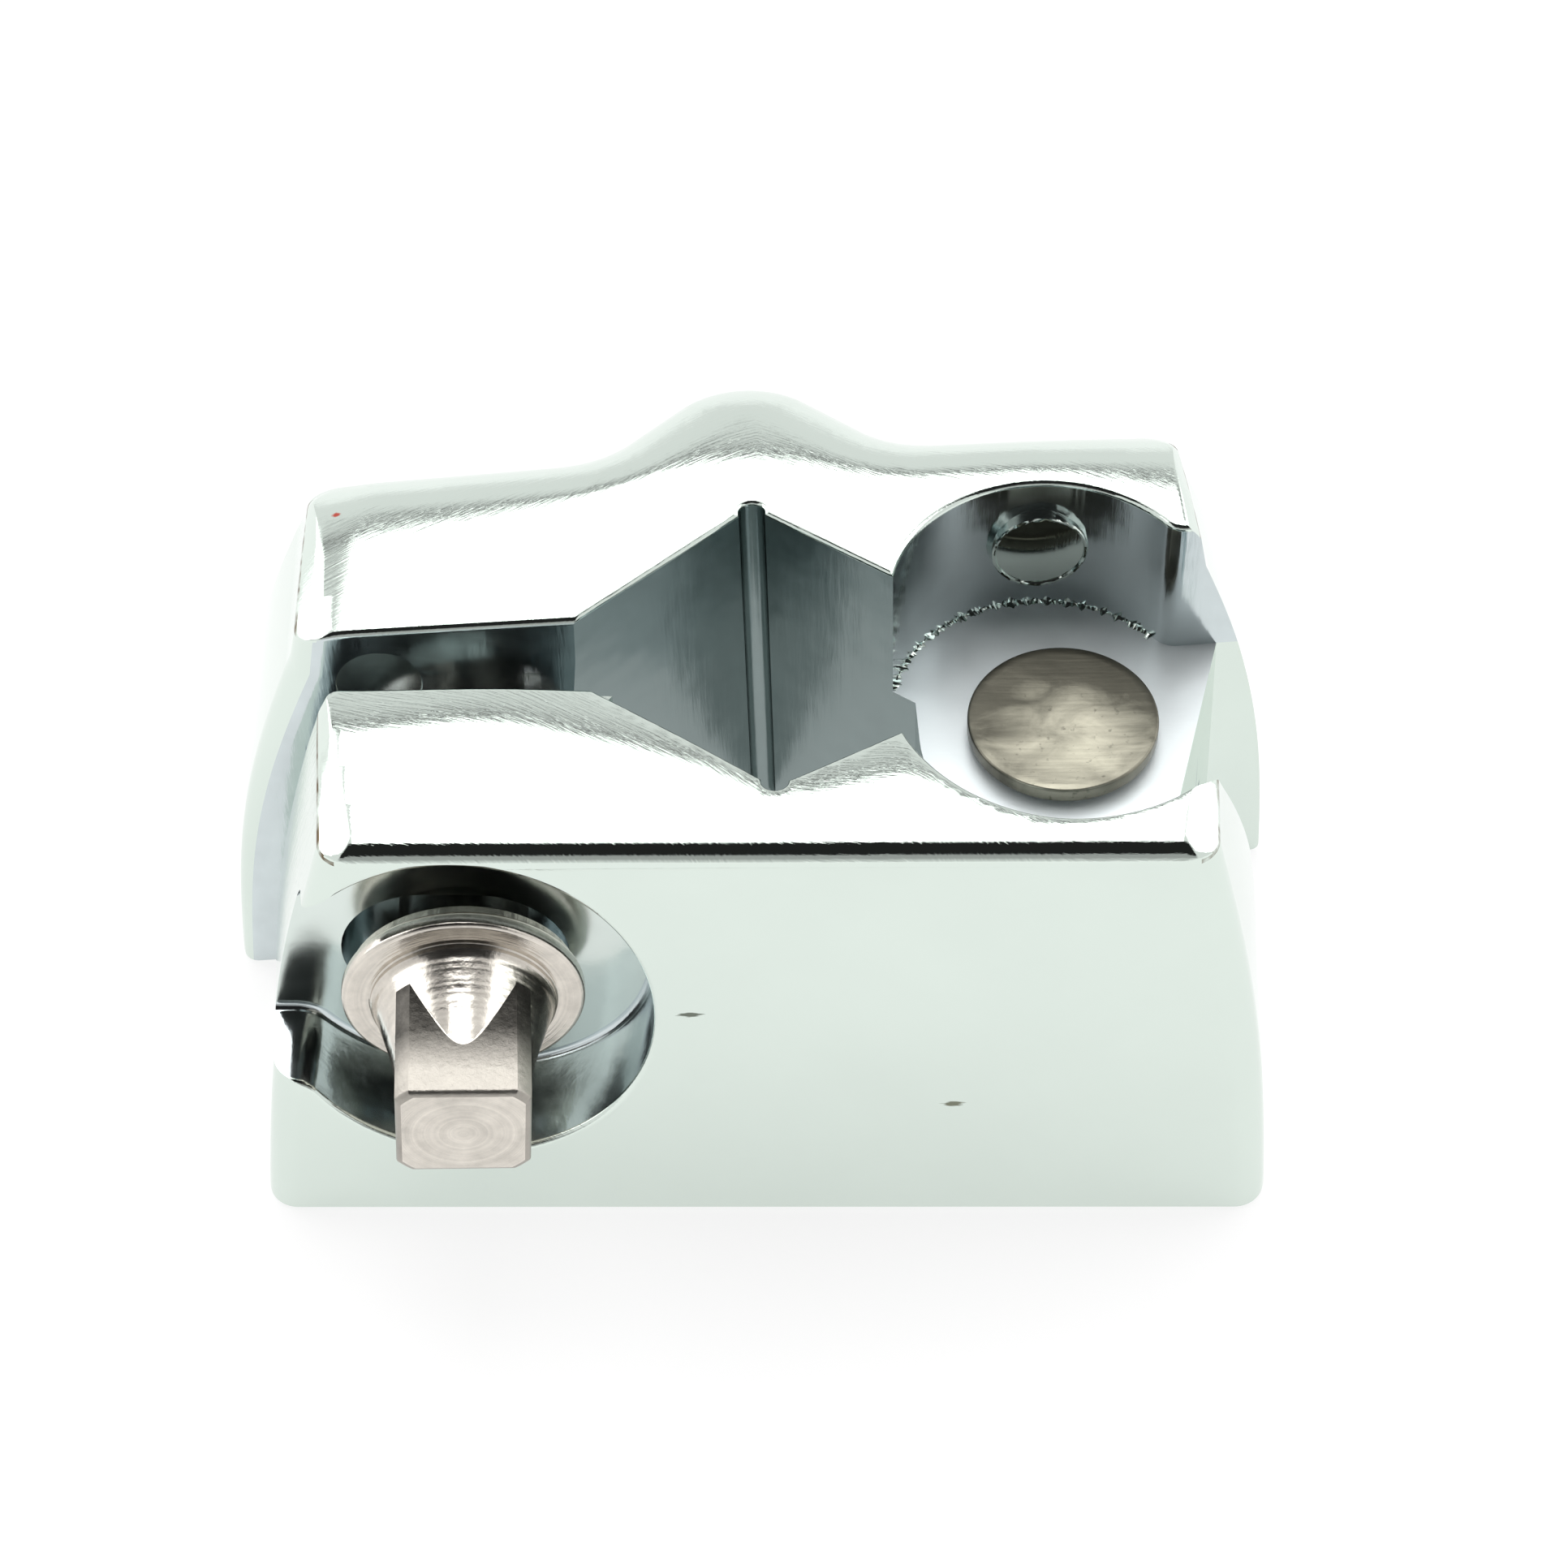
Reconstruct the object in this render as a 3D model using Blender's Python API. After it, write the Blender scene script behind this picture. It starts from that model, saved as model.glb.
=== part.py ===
"""Hinged V-block rod clamp: two cast jaws on a vertical pin, drawn together by a square-headed screw.

The origin lies in the middle of the footprint, at the base. X runs along the jaws, Y points from the
front jaw to the rear jaw, and Z points up. The rear jaw stands a few degrees round its pin, as it rests with the
screw slackened.
"""
import math

import bmesh
import bpy
from mathutils import Matrix, Vector

MM = 0.001
NO_SHIFT = (0.0, 0.0, 0.0)

# Castings, in millimetres
HEIGHT = 21.5
LEVELS = 7

# Middle of the clamp's footprint, which becomes the origin
ORIGIN_X = -1.1696
ORIGIN_Y = 0.4678

# Front jaw: where its ends lie at the top, by its land and by its front face, and how far they flare
FRONT_LAND_Y = -2.1
FRONT_LAND_LEAN = -0.6
FRONT_FACE_Y = -11.9
FRONT_FACE_LEAN = 3.85
FRONT_BULGE = 0.7
FRONT_LEFT_LAND = -19.3
FRONT_LEFT_FACE = -18.3
FRONT_RIGHT_LAND = 19.9
FRONT_RIGHT_FACE = 19.4
FRONT_FLARE_LEFT = 4.7
FRONT_FLARE_RIGHT = 3.5
FRONT_CORNER_R = 1.5
FRONT_LAND_CORNER_R = 1.2
FRONT_V_APEX = (0.8, -8.2)
FRONT_V_LEFT = (-7.6, -2.1)
FRONT_V_RIGHT = (7.0, -4.35)
FRONT_ARC_CENTRE = (13.8, -2.1)
FRONT_ARC_R = 7.95
FRONT_ARC_END = 328.0

# Rear jaw, drawn with its land parallel to the front jaw's and then swung by REAR_YAW
REAR_YAW = 4.2
REAR_LAND_Y = 3.15
REAR_LAND_LEAN = 1.75
REAR_BULGE = 1.3
REAR_BACK_Y = 14.5
REAR_BACK_LEAN = 2.9
REAR_TOP_LEFT = 20.15
REAR_TOP_RIGHT = 19.8
REAR_FLARE_LEFT = 5.8
REAR_FLARE_RIGHT = 4.7
REAR_V_APEX = (0.0, 9.5)
REAR_V_HALF = 8.1
REAR_POCKET_CENTRE = (13.0, 2.83)
REAR_POCKET_R = 7.1
REAR_LUG_SIDE = ((21.6, 6.6), (17.9, -5.0))
REAR_END_FOOT_Y = 4.8
BULGE_HALF = 6.9
BULGE_OUT = 6.3

# How the sides roll into the top face: (width, drop)
TOP_ROLL = (0.45, 0.45)
END_ROLL = (1.4, 0.8)
LAND_ROLL = (1.3, 0.5)
BACK_ROLL = (3.8, 1.8)

# Relief groove at the bottom of each V
GROOVE_R = 0.6

# Hinge
PIN_X = 13.74
PIN_Y = 1.52
PIN_R = 2.5
PIN_CLEARANCE = 0.05
PIN_HEAD_R = 4.4
PIN_HEAD_T = 0.8
PIN_FOOT_Z = 1.0
SHELF_Z = 13.55
LUG_SPLIT_Z = 7.75
LUG_GAP = 0.3
LUG_R = 6.6
LUG_FOOT_Z = 1.6
LUG_POCKET_R = 7.1
TOUCH_GAP = 0.3

# Clamp screw, its axis square to the rear jaw
SCREW_X = -13.05
SCREW_Y = -12.78
SCREW_Z = 12.24
FLANGE_R = 5.36
FLANGE_T = 0.8
BOSS_R = 4.1
BOSS_T = 0.35
CONE_TIP_R = 2.7
CONE_END = -5.9
CONE_HOLLOW = 0.18
HEAD_FLAT = 5.8
HEAD_CORNER_R = 3.7
HEAD_OUT = 7.1
HEAD_TURN = -5.0
SHANK_R = 2.9
SHANK_END = 20.0
THREAD_CLEARANCE = 0.05
WASHER_R = 5.0
WASHER_HOLE_R = 3.2
WASHER_T = 0.55
WASHER_GAP = 0.1
RECESS_R = 8.4
RECESS_FLOOR_Y = -10.1
RECESS_NECK_HALF = 4.0
RECESS_LIP_R = 1.6
SLOT_X = -13.6
SLOT_HALF_X = 5.1
SLOT_R = 4.1

# Colours: (base colour), roughness, metallic
CHROME = ((0.84, 0.88, 0.85), 0.06, 1.0)
PIN_STEEL = ((0.56, 0.53, 0.48), 0.35, 1.0)
SCREW_STEEL = ((0.78, 0.75, 0.70), 0.20, 1.0)
WASHER_STEEL = ((0.70, 0.69, 0.66), 0.28, 1.0)


def clear_scene():
    for old in list(bpy.data.objects):
        bpy.data.objects.remove(old, do_unlink=True)


def make_material(name, look):
    colour, roughness, metallic = look
    material = bpy.data.materials.new(name)
    material.use_nodes = True
    shader = material.node_tree.nodes["Principled BSDF"]
    shader.inputs["Base Color"].default_value = (*colour, 1.0)
    shader.inputs["Roughness"].default_value = roughness
    shader.inputs["Metallic"].default_value = metallic
    return material


def make_object(name, bm, look=None, shift=(-ORIGIN_X, -ORIGIN_Y, 0.0)):
    """Turn a bmesh drawn in millimetres into an object in metres, moved so that the origin is in the middle."""
    bmesh.ops.recalc_face_normals(bm, faces=bm.faces[:])
    bmesh.ops.translate(bm, vec=shift, verts=bm.verts[:])
    bmesh.ops.scale(bm, vec=(MM, MM, MM), verts=bm.verts[:])
    mesh = bpy.data.meshes.new(name)
    bm.to_mesh(mesh)
    bm.free()
    piece = bpy.data.objects.new(name, mesh)
    bpy.context.scene.collection.objects.link(piece)
    if look:
        mesh.materials.append(make_material(name + "_metal", look))
    return piece


def smooth(piece, angle=30.0):
    piece.data.shade_smooth()
    piece.data.set_sharp_from_angle(angle=math.radians(angle))


def arc(cx, cy, radius, start, end, steps):
    """Points on an arc, angles in degrees."""
    points = []
    for i in range(steps + 1):
        a = math.radians(start + (end - start) * i / steps)
        points.append((cx + radius * math.cos(a), cy + radius * math.sin(a)))
    return points


def offset_corner(before, corner, after, inset_before, inset_after):
    """Where the two sides meeting at a corner cross once each has moved inward (outline runs anticlockwise)."""
    d1 = (Vector(corner) - Vector(before)).normalized()
    d2 = (Vector(after) - Vector(corner)).normalized()
    n1 = Vector((-d1.y, d1.x))
    n2 = Vector((-d2.y, d2.x))
    cross = d1.x * d2.y - d1.y * d2.x
    if abs(cross) < 1e-6:
        return Vector(corner) + n1 * inset_before
    shift = (n2 * inset_after - n1 * inset_before)
    along = (shift.x * d2.y - shift.y * d2.x) / cross
    return Vector(corner) + n1 * inset_before + d1 * along


def rounded_outline(corners, insets, drops, z):
    """Fillet every corner of an anticlockwise outline.

    Each corner is (x, y, radius, steps). Side i runs from corner i to corner i + 1, is moved inward by
    insets[i] and lowered by drops[i] below z.
    """
    count = len(corners)
    points = []
    for i in range(count):
        moved = []
        for j in (i - 1, i, i + 1):
            here = corners[j % count]
            before = corners[(j - 1) % count]
            after = corners[(j + 1) % count]
            moved.append(offset_corner(before[:2], here[:2], after[:2], insets[(j - 1) % count], insets[j % count]))
        into = (moved[1] - moved[0]).normalized()
        out = (moved[2] - moved[1]).normalized()
        turn = math.atan2(into.x * out.y - into.y * out.x, into.dot(out))
        radius, steps = corners[i][2], corners[i][3]
        inset = 0.5 * (insets[i - 1] + insets[i])
        radius = max(0.15, radius - inset) if turn > 0 else radius + inset
        reach = radius * math.tan(abs(turn) / 2.0)
        side = 1.0 if turn > 0 else -1.0
        centre = moved[1] - into * reach + Vector((-into.y, into.x)) * radius * side
        first = moved[1] - into * reach - centre
        for k in range(steps + 1):
            share = k / steps
            spoke = Matrix.Rotation(turn * share, 2) @ first
            drop = drops[i - 1] * (1.0 - share) + drops[i] * share
            points.append((centre.x + spoke.x, centre.y + spoke.y, z - drop))
    return points


def skin(rings):
    """Close a stack of rings, all with the same number of points, into one solid."""
    bm = bmesh.new()
    loops = [[bm.verts.new(point) for point in ring] for ring in rings]
    count = len(loops[0])
    for low, high in zip(loops, loops[1:]):
        for i in range(count):
            j = (i + 1) % count
            bm.faces.new((low[i], low[j], high[j], high[i]))
    bm.faces.new(list(reversed(loops[0])))
    bm.faces.new(loops[-1])
    return bm


def prism(points, z0, z1):
    """Extrude a plan outline from z0 to z1."""
    return skin([[(x, y, z0) for x, y in points], [(x, y, z1) for x, y in points]])


def lathe_y(profile, segments):
    """Spin (radius, y) pairs about the Y axis; the profile runs from one end of the axis to the other."""
    rings = []
    for radius, y in profile:
        ring = []
        for i in range(segments):
            a = 2.0 * math.pi * i / segments
            ring.append((radius * math.cos(a), y, radius * math.sin(a)))
        rings.append(ring)
    return skin(rings)


def round_bar(cx, cy, radius, z0, z1, segments=40):
    points = arc(cx, cy, radius, 0.0, 360.0, segments)[:-1]
    return prism(points, z0, z1)


def boolean(target, cutter, operation="DIFFERENCE"):
    cutter.hide_render = True
    cutter.display_type = "WIRE"
    modifier = target.modifiers.new(cutter.name, "BOOLEAN")
    modifier.operation = operation
    modifier.solver = "EXACT"
    modifier.object = cutter
    bpy.context.view_layer.update()
    graph = bpy.context.evaluated_depsgraph_get()
    result = bpy.data.meshes.new_from_object(target.evaluated_get(graph))
    target.modifiers.clear()
    target.data = result
    bpy.data.objects.remove(cutter, do_unlink=True)


def jaw_body(corners_at, rolls):
    """Skin a jaw from its foot to its rolled top edges.

    corners_at(u) gives the plan at depth u, 0 at the top and 1 at the foot. rolls lists each side's
    (width, drop) where it rolls into the top face.
    """
    flat = [0.0] * len(rolls)
    foot_r = 0.4
    rings = []
    for angle in (0.0, 45.0):
        inset = foot_r * (1.0 - math.sin(math.radians(angle)))
        z = foot_r * (1.0 - math.cos(math.radians(angle)))
        rings.append(rounded_outline(corners_at(1.0), [inset] * len(rolls), flat, z))
    deepest = max(drop for width, drop in rolls)
    for i in range(LEVELS + 1):
        z = foot_r + (HEIGHT - deepest - foot_r) * i / LEVELS
        drops = flat
        if i == LEVELS:
            drops = [drop - deepest for width, drop in rolls]
        rings.append(rounded_outline(corners_at(1.0 - z / HEIGHT), flat, drops, z))
    steps = 5
    for k in range(1, steps + 1):
        a = math.radians(90.0 * k / steps)
        insets = [width * (1.0 - math.cos(a)) for width, drop in rolls]
        drops = [drop * (1.0 - math.sin(a)) for width, drop in rolls]
        rings.append(rounded_outline(corners_at(0.0), insets, drops, HEIGHT))
    return skin(rings)


def front_corners(u):
    bulge = FRONT_BULGE * math.sin(math.pi * u)
    left = -FRONT_FLARE_LEFT * u - bulge
    right = FRONT_FLARE_RIGHT * u + bulge
    face_y = FRONT_FACE_Y - FRONT_FACE_LEAN * u
    land_y = FRONT_LAND_Y + FRONT_LAND_LEAN * u
    return [
        (FRONT_LEFT_FACE + left, face_y, FRONT_CORNER_R, 5),
        (FRONT_RIGHT_FACE + right, face_y, FRONT_CORNER_R, 5),
        (FRONT_RIGHT_LAND + right, land_y, FRONT_LAND_CORNER_R, 4),
        (FRONT_LEFT_LAND + left, land_y, FRONT_LAND_CORNER_R, 4),
    ]


def rear_corners(u):
    bulge = REAR_BULGE * math.sin(math.pi * u)
    left = -REAR_TOP_LEFT - REAR_FLARE_LEFT * u - bulge
    right = REAR_TOP_RIGHT + REAR_FLARE_RIGHT * u + bulge
    land = REAR_LAND_Y - REAR_LAND_LEAN * u
    back = REAR_BACK_Y + REAR_BACK_LEAN * u
    return [
        (left, land, 1.6 - 0.8 * u, 5),
        (right, land, 1.2, 5),
        (right - 0.4, back - 0.3, 1.8, 5),
        (BULGE_HALF, back, 5.0, 6),
        (0.0, back + BULGE_OUT, 4.5, 10),
        (-BULGE_HALF, back, 5.0, 6),
        (left + 0.4, back - 0.3, 1.8, 5),
    ]


def v_outline(left, apex, right, mouth_y):
    """Plan of a V notch with its relief groove; left and right lie on its walls."""
    lx, ly = left
    rx, ry = right
    ax, ay = apex
    side = 1.0 if ay > ly else -1.0
    left_slope = (ay - ly) / (ax - lx)
    right_slope = (ay - ry) / (ax - rx)
    far_left = lx + (mouth_y - ly) / left_slope
    far_right = rx + (mouth_y - ry) / right_slope
    half = GROOVE_R
    groove_base = ay - side * 0.35
    left_y = ay - left_slope * half
    right_y = ay + right_slope * half
    points = [(far_left, mouth_y), (ax - half, left_y)]
    for x, y in arc(ax, 0.0, half, 180.0, 0.0, 10)[1:-1]:
        points.append((x, groove_base + side * y))
    points += [(ax + half, right_y), (far_right, mouth_y)]
    return points


def lug_outline(radius, root_y):
    """Plan of a hinge lug: round about the pin, with straight sides back to its root."""
    if root_y > PIN_Y:
        round_end = arc(PIN_X, PIN_Y, radius, 180.0, 360.0, 28)
    else:
        round_end = arc(PIN_X, PIN_Y, radius, 0.0, 180.0, 28)
    first, last = round_end[0], round_end[-1]
    return round_end + [(last[0], root_y), (first[0], root_y)]


def front_arc_outline():
    """Plan of the cut round the pin's head and the rear jaw's lug, open through the right end."""
    cx, cy = FRONT_ARC_CENTRE
    wall = arc(cx, cy, FRONT_ARC_R, 180.0, FRONT_ARC_END, 44)
    a = math.radians(FRONT_ARC_END)
    run = 12.0
    end = (wall[-1][0] - run * math.sin(a), wall[-1][1] + run * math.cos(a))
    return wall + [end, (end[0], 12.0), (wall[0][0], 12.0)]


def front_jaw():
    rolls = [TOP_ROLL, END_ROLL, LAND_ROLL, END_ROLL]
    jaw = make_object("front_jaw", jaw_body(front_corners, rolls), CHROME)
    top = HEIGHT + 2.0
    lug_top = LUG_SPLIT_Z - LUG_GAP / 2.0
    notch = v_outline(FRONT_V_LEFT, FRONT_V_APEX, FRONT_V_RIGHT, 1.0)
    boolean(jaw, make_object("front_v", prism(notch, -2.0, top)))
    boolean(jaw, make_object("front_arc", prism(front_arc_outline(), lug_top, top)))
    lug = prism(lug_outline(LUG_R, FRONT_LAND_Y - 2.0), LUG_FOOT_Z, lug_top)
    boolean(jaw, make_object("front_lug", lug), "UNION")
    boolean(jaw, make_object("front_pin_hole", round_bar(PIN_X, PIN_Y, PIN_R + PIN_CLEARANCE, -1.0, top)))
    boolean(jaw, make_object("screw_recess", recess_cutter()))
    boolean(jaw, make_object("screw_slot", slot_cutter()))
    smooth(jaw)
    return jaw


def recess_outline():
    """Elevation (x, z) of the screw recess: a round pocket whose flared neck breaks out of the end."""
    lip_rise = RECESS_NECK_HALF + RECESS_LIP_R
    lip_run = math.sqrt((RECESS_R + RECESS_LIP_R) ** 2 - lip_rise ** 2)
    lip_angle = math.degrees(math.atan2(lip_rise, lip_run))
    lip_x = SCREW_X - lip_run
    end_x = SCREW_X - 20.0
    wall = arc(SCREW_X, SCREW_Z, RECESS_R, -180.0 + lip_angle, 180.0 - lip_angle, 56)
    upper = arc(lip_x, SCREW_Z + lip_rise, RECESS_LIP_R, -lip_angle, -90.0, 6)
    lower = arc(lip_x, SCREW_Z - lip_rise, RECESS_LIP_R, 90.0, lip_angle, 6)
    return wall + upper[1:] + [(end_x, upper[-1][1]), (end_x, lower[0][1])] + lower[:-1]


def recess_cutter():
    outline = recess_outline()
    return skin([[(x, y, z) for x, z in outline] for y in (RECESS_FLOOR_Y, FRONT_FACE_Y - 12.0)])


def slot_cutter():
    """Clearance hole for the screw, longer across the jaw so that the screw can swing with the rear jaw."""
    run = SLOT_HALF_X - SLOT_R
    right = arc(SLOT_X + run, SCREW_Z, SLOT_R, -90.0, 90.0, 16)
    left = arc(SLOT_X - run, SCREW_Z, SLOT_R, 90.0, 270.0, 16)
    return skin([[(x, y, z) for x, z in right + left] for y in (FRONT_FACE_Y - 8.0, 1.0)])


def pocket_outline():
    """Plan of the head pocket: an arc whose flared lip opens through the right end."""
    cx, cy = REAR_POCKET_CENTRE
    wall = arc(cx, cy, REAR_POCKET_R, 196.0, 36.0, 44)
    bend_r = 1.2
    a = math.radians(36.0)
    bend_x = cx + (REAR_POCKET_R + bend_r) * math.cos(a)
    bend_y = cy + (REAR_POCKET_R + bend_r) * math.sin(a)
    lip = arc(bend_x, bend_y, bend_r, 216.0, 276.0, 6)
    front_y = REAR_LAND_Y - 14.0
    return wall + lip[1:] + [(40.0, lip[-1][1] + 0.4), (40.0, front_y), (wall[0][0], front_y)]


def rear_end_cut():
    """The corner taken off the rear jaw's hinged end, beside the lug; its back wall leans forward to the foot."""
    outer, inner = REAR_LUG_SIDE
    below = -2.0
    above = SHELF_Z + 0.01
    rings = []
    for z in (below, above):
        share = z / SHELF_Z
        wall_y = REAR_END_FOOT_Y + (outer[1] - REAR_END_FOOT_Y) * share
        rings.append([(inner[0], -12.0, z), (40.0, -12.0, z), (40.0, wall_y, z), (outer[0], wall_y, z), (*inner, z)])
    return skin(rings)


def rear_jaw(pivot):
    rolls = [TOP_ROLL, END_ROLL, BACK_ROLL, BACK_ROLL, BACK_ROLL, BACK_ROLL, END_ROLL]
    jaw = make_object("rear_jaw", jaw_body(rear_corners, rolls), CHROME)
    top = HEIGHT + 2.0
    lug_foot = LUG_SPLIT_Z + LUG_GAP / 2.0
    ax, ay = REAR_V_APEX
    notch = v_outline((ax - REAR_V_HALF, REAR_LAND_Y), REAR_V_APEX, (ax + REAR_V_HALF, REAR_LAND_Y), -1.0)
    lug = prism(lug_outline(LUG_R, REAR_LAND_Y + 3.0), lug_foot, SHELF_Z + 1.0)
    boolean(jaw, make_object("rear_v", prism(notch, -2.0, top)))
    boolean(jaw, make_object("rear_lug", lug), "UNION")
    boolean(jaw, make_object("head_pocket", prism(pocket_outline(), SHELF_Z, top)))
    boolean(jaw, make_object("end_cut", rear_end_cut()))
    low = lug_outline(LUG_POCKET_R, REAR_LAND_Y - 9.0)
    boolean(jaw, make_object("lug_pocket", prism(low, -2.0, lug_foot)))
    boolean(jaw, make_object("rear_pin_hole", round_bar(PIN_X, PIN_Y, PIN_R + PIN_CLEARANCE, -1.0, top)))
    bore_r = SHANK_R + THREAD_CLEARANCE
    bore = lathe_y([(bore_r, -3.0), (bore_r, 45.0)], 40)
    along = screw_frame_in_jaw()
    bmesh.ops.transform(bore, matrix=along, verts=bore.verts[:])
    boolean(jaw, make_object("screw_bore", bore))
    jaw.data.transform(Matrix.Translation((-(PIN_X - ORIGIN_X) * MM, -(PIN_Y - ORIGIN_Y) * MM, 0.0)))
    jaw.parent = pivot
    smooth(jaw)
    return jaw


def screw_frame_in_jaw():
    """Place of the screw's axis in the rear jaw's own unswung frame."""
    swing = Matrix.Rotation(math.radians(-REAR_YAW), 4, "Z")
    pin = Vector((PIN_X, PIN_Y, 0.0))
    place = swing @ (Vector((SCREW_X, SCREW_Y, SCREW_Z)) - pin) + pin
    return Matrix.Translation(place)


def hinge_pin():
    top = SHELF_Z + TOUCH_GAP
    edge = 0.12
    profile = [
        (PIN_R - 0.3, PIN_FOOT_Z),
        (PIN_R, PIN_FOOT_Z + 0.3),
        (PIN_R, top),
        (PIN_HEAD_R - edge, top),
        (PIN_HEAD_R, top + edge),
        (PIN_HEAD_R, top + PIN_HEAD_T - edge),
        (PIN_HEAD_R - edge, top + PIN_HEAD_T),
    ]
    rings = []
    for radius, z in profile:
        rings.append([(x, y, z) for x, y in arc(0.0, 0.0, radius, 0.0, 360.0, 64)[:-1]])
    pin = make_object("hinge_pin", skin(rings), PIN_STEEL, NO_SHIFT)
    pin.location = ((PIN_X - ORIGIN_X) * MM, (PIN_Y - ORIGIN_Y) * MM, 0.0)
    smooth(pin)
    return pin


def square_head():
    """The screw's square drive, its corners turned round and its end slightly domed."""
    half = HEAD_FLAT / 2.0
    reach = math.sqrt(HEAD_CORNER_R ** 2 - half ** 2)
    low = math.degrees(math.atan2(reach, half))
    outline = []
    for quarter in range(4):
        turn = quarter * 90.0 + HEAD_TURN
        outline += arc(0.0, 0.0, HEAD_CORNER_R, turn + low, turn + 90.0 - low, 5)
    rings = []
    for y, size in ((-0.2, 1.0), (-HEAD_OUT + 0.35, 1.0), (-HEAD_OUT + 0.1, 0.95), (-HEAD_OUT, 0.86)):
        rings.append([(x * size, y, z * size) for x, z in outline])
    return skin(rings)


def clamp_screw(pivot):
    base = -BOSS_T
    profile = [
        (SHANK_R - 0.5, SHANK_END),
        (SHANK_R, SHANK_END - 0.5),
        (SHANK_R, FLANGE_T),
        (FLANGE_R - 0.15, FLANGE_T),
        (FLANGE_R, FLANGE_T - 0.15),
        (FLANGE_R, 0.2),
        (FLANGE_R - 0.2, 0.0),
        (BOSS_R, 0.0),
        (BOSS_R, base + 0.1),
        (BOSS_R - 0.1, base),
    ]
    steps = 8
    for i in range(1, steps + 1):
        share = i / steps
        hollow = CONE_HOLLOW * math.sin(math.pi * share)
        radius = BOSS_R - 0.1 + (CONE_TIP_R - BOSS_R + 0.1) * share - hollow
        profile.append((radius, base + (CONE_END - base) * share))
    screw = make_object("clamp_screw", lathe_y(profile, 56), SCREW_STEEL, NO_SHIFT)
    boolean(screw, make_object("square_drive", square_head(), None, NO_SHIFT), "UNION")
    screw.parent = pivot
    smooth(screw)
    return screw


def screw_washer(pivot):
    y0 = FLANGE_T + WASHER_GAP
    y1 = y0 + WASHER_T
    edge = 0.12
    rings = []
    for radius, y in (
        (WASHER_R - edge, y0),
        (WASHER_R, y0 + edge),
        (WASHER_R, y1 - edge),
        (WASHER_R - edge, y1),
        (WASHER_HOLE_R, y1),
        (WASHER_HOLE_R, y0),
    ):
        ring = arc(0.0, 0.0, radius, 0.0, 360.0, 56)[:-1]
        rings.append([(x, y, z) for x, z in ring])
    bm = bmesh.new()
    loops = [[bm.verts.new(point) for point in ring] for ring in rings]
    for low, high in zip(loops, loops[1:] + loops[:1]):
        for i in range(len(low)):
            j = (i + 1) % len(low)
            bm.faces.new((low[i], low[j], high[j], high[i]))
    washer = make_object("screw_washer", bm, WASHER_STEEL, NO_SHIFT)
    washer.parent = pivot
    smooth(washer)
    return washer


def make_pivot(name, x, y, z, yaw):
    pivot = bpy.data.objects.new(name, None)
    bpy.context.scene.collection.objects.link(pivot)
    pivot.location = ((x - ORIGIN_X) * MM, (y - ORIGIN_Y) * MM, z * MM)
    pivot.rotation_euler = (0.0, 0.0, math.radians(yaw))
    return pivot


def main():
    clear_scene()
    hinge = make_pivot("hinge_axis", PIN_X, PIN_Y, 0.0, REAR_YAW)
    drive = make_pivot("screw_axis", SCREW_X, SCREW_Y, SCREW_Z, REAR_YAW)
    front_jaw()
    rear_jaw(hinge)
    hinge_pin()
    clamp_screw(drive)
    screw_washer(drive)
    bpy.context.view_layer.update()


main()
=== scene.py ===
"""Look of the hinged rod clamp: two chromed cast jaws, a turned steel screw and a worn pin."""
import math
import random

import bmesh
import bpy
from mathutils import Matrix, Vector


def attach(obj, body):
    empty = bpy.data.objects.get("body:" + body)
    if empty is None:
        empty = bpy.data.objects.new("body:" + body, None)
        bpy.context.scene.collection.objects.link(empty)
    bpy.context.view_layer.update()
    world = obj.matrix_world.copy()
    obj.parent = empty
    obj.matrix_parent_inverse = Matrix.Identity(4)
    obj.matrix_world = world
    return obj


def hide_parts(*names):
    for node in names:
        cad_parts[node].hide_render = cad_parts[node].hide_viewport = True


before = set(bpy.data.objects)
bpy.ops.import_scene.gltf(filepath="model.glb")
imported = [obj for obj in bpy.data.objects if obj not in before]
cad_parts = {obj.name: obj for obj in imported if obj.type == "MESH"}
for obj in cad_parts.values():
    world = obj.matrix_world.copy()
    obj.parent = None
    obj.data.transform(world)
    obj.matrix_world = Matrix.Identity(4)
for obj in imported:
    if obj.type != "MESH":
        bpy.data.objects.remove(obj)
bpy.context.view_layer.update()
MM = 0.001

# Camera
CAMERA_TARGET = (1.97 * MM, 1.032 * MM, 10.0 * MM)
CAMERA_DISTANCE = 163.8 * MM
CAMERA_AZIMUTH = -2.42
CAMERA_ELEVATION = 49.84
CAMERA_ROLL = -2.06
CAMERA_LENS = 79.9
CAMERA_SENSOR = 36.0

# Drawing of the clamp, in millimetres: its origin in this drawing, then the same sizes as the CAD
ORIGIN_X = -1.1696
ORIGIN_Y = 0.4678
OUTSIDE = 40.0
HEIGHT = 21.5
FOOT_R = 0.4

FRONT_LAND_Y = -2.1
FRONT_LAND_LEAN = -0.6
FRONT_FACE_Y = -11.9
FRONT_FACE_LEAN = 3.85
FRONT_BULGE = 0.7
FRONT_LEFT_LAND = -19.3
FRONT_LEFT_FACE = -18.3
FRONT_RIGHT_LAND = 19.9
FRONT_RIGHT_FACE = 19.4
FRONT_FLARE_LEFT = 4.7
FRONT_FLARE_RIGHT = 3.5
FRONT_CORNER_R = 1.5
FRONT_LAND_CORNER_R = 1.2
FRONT_V_APEX = (0.8, -8.2)
FRONT_V_LEFT = (-7.6, -2.1)
FRONT_V_RIGHT = (7.0, -4.35)
FRONT_ARC_CENTRE = (13.8, -2.1)
FRONT_ARC_R = 7.95
FRONT_ARC_END = 328.0

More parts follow.
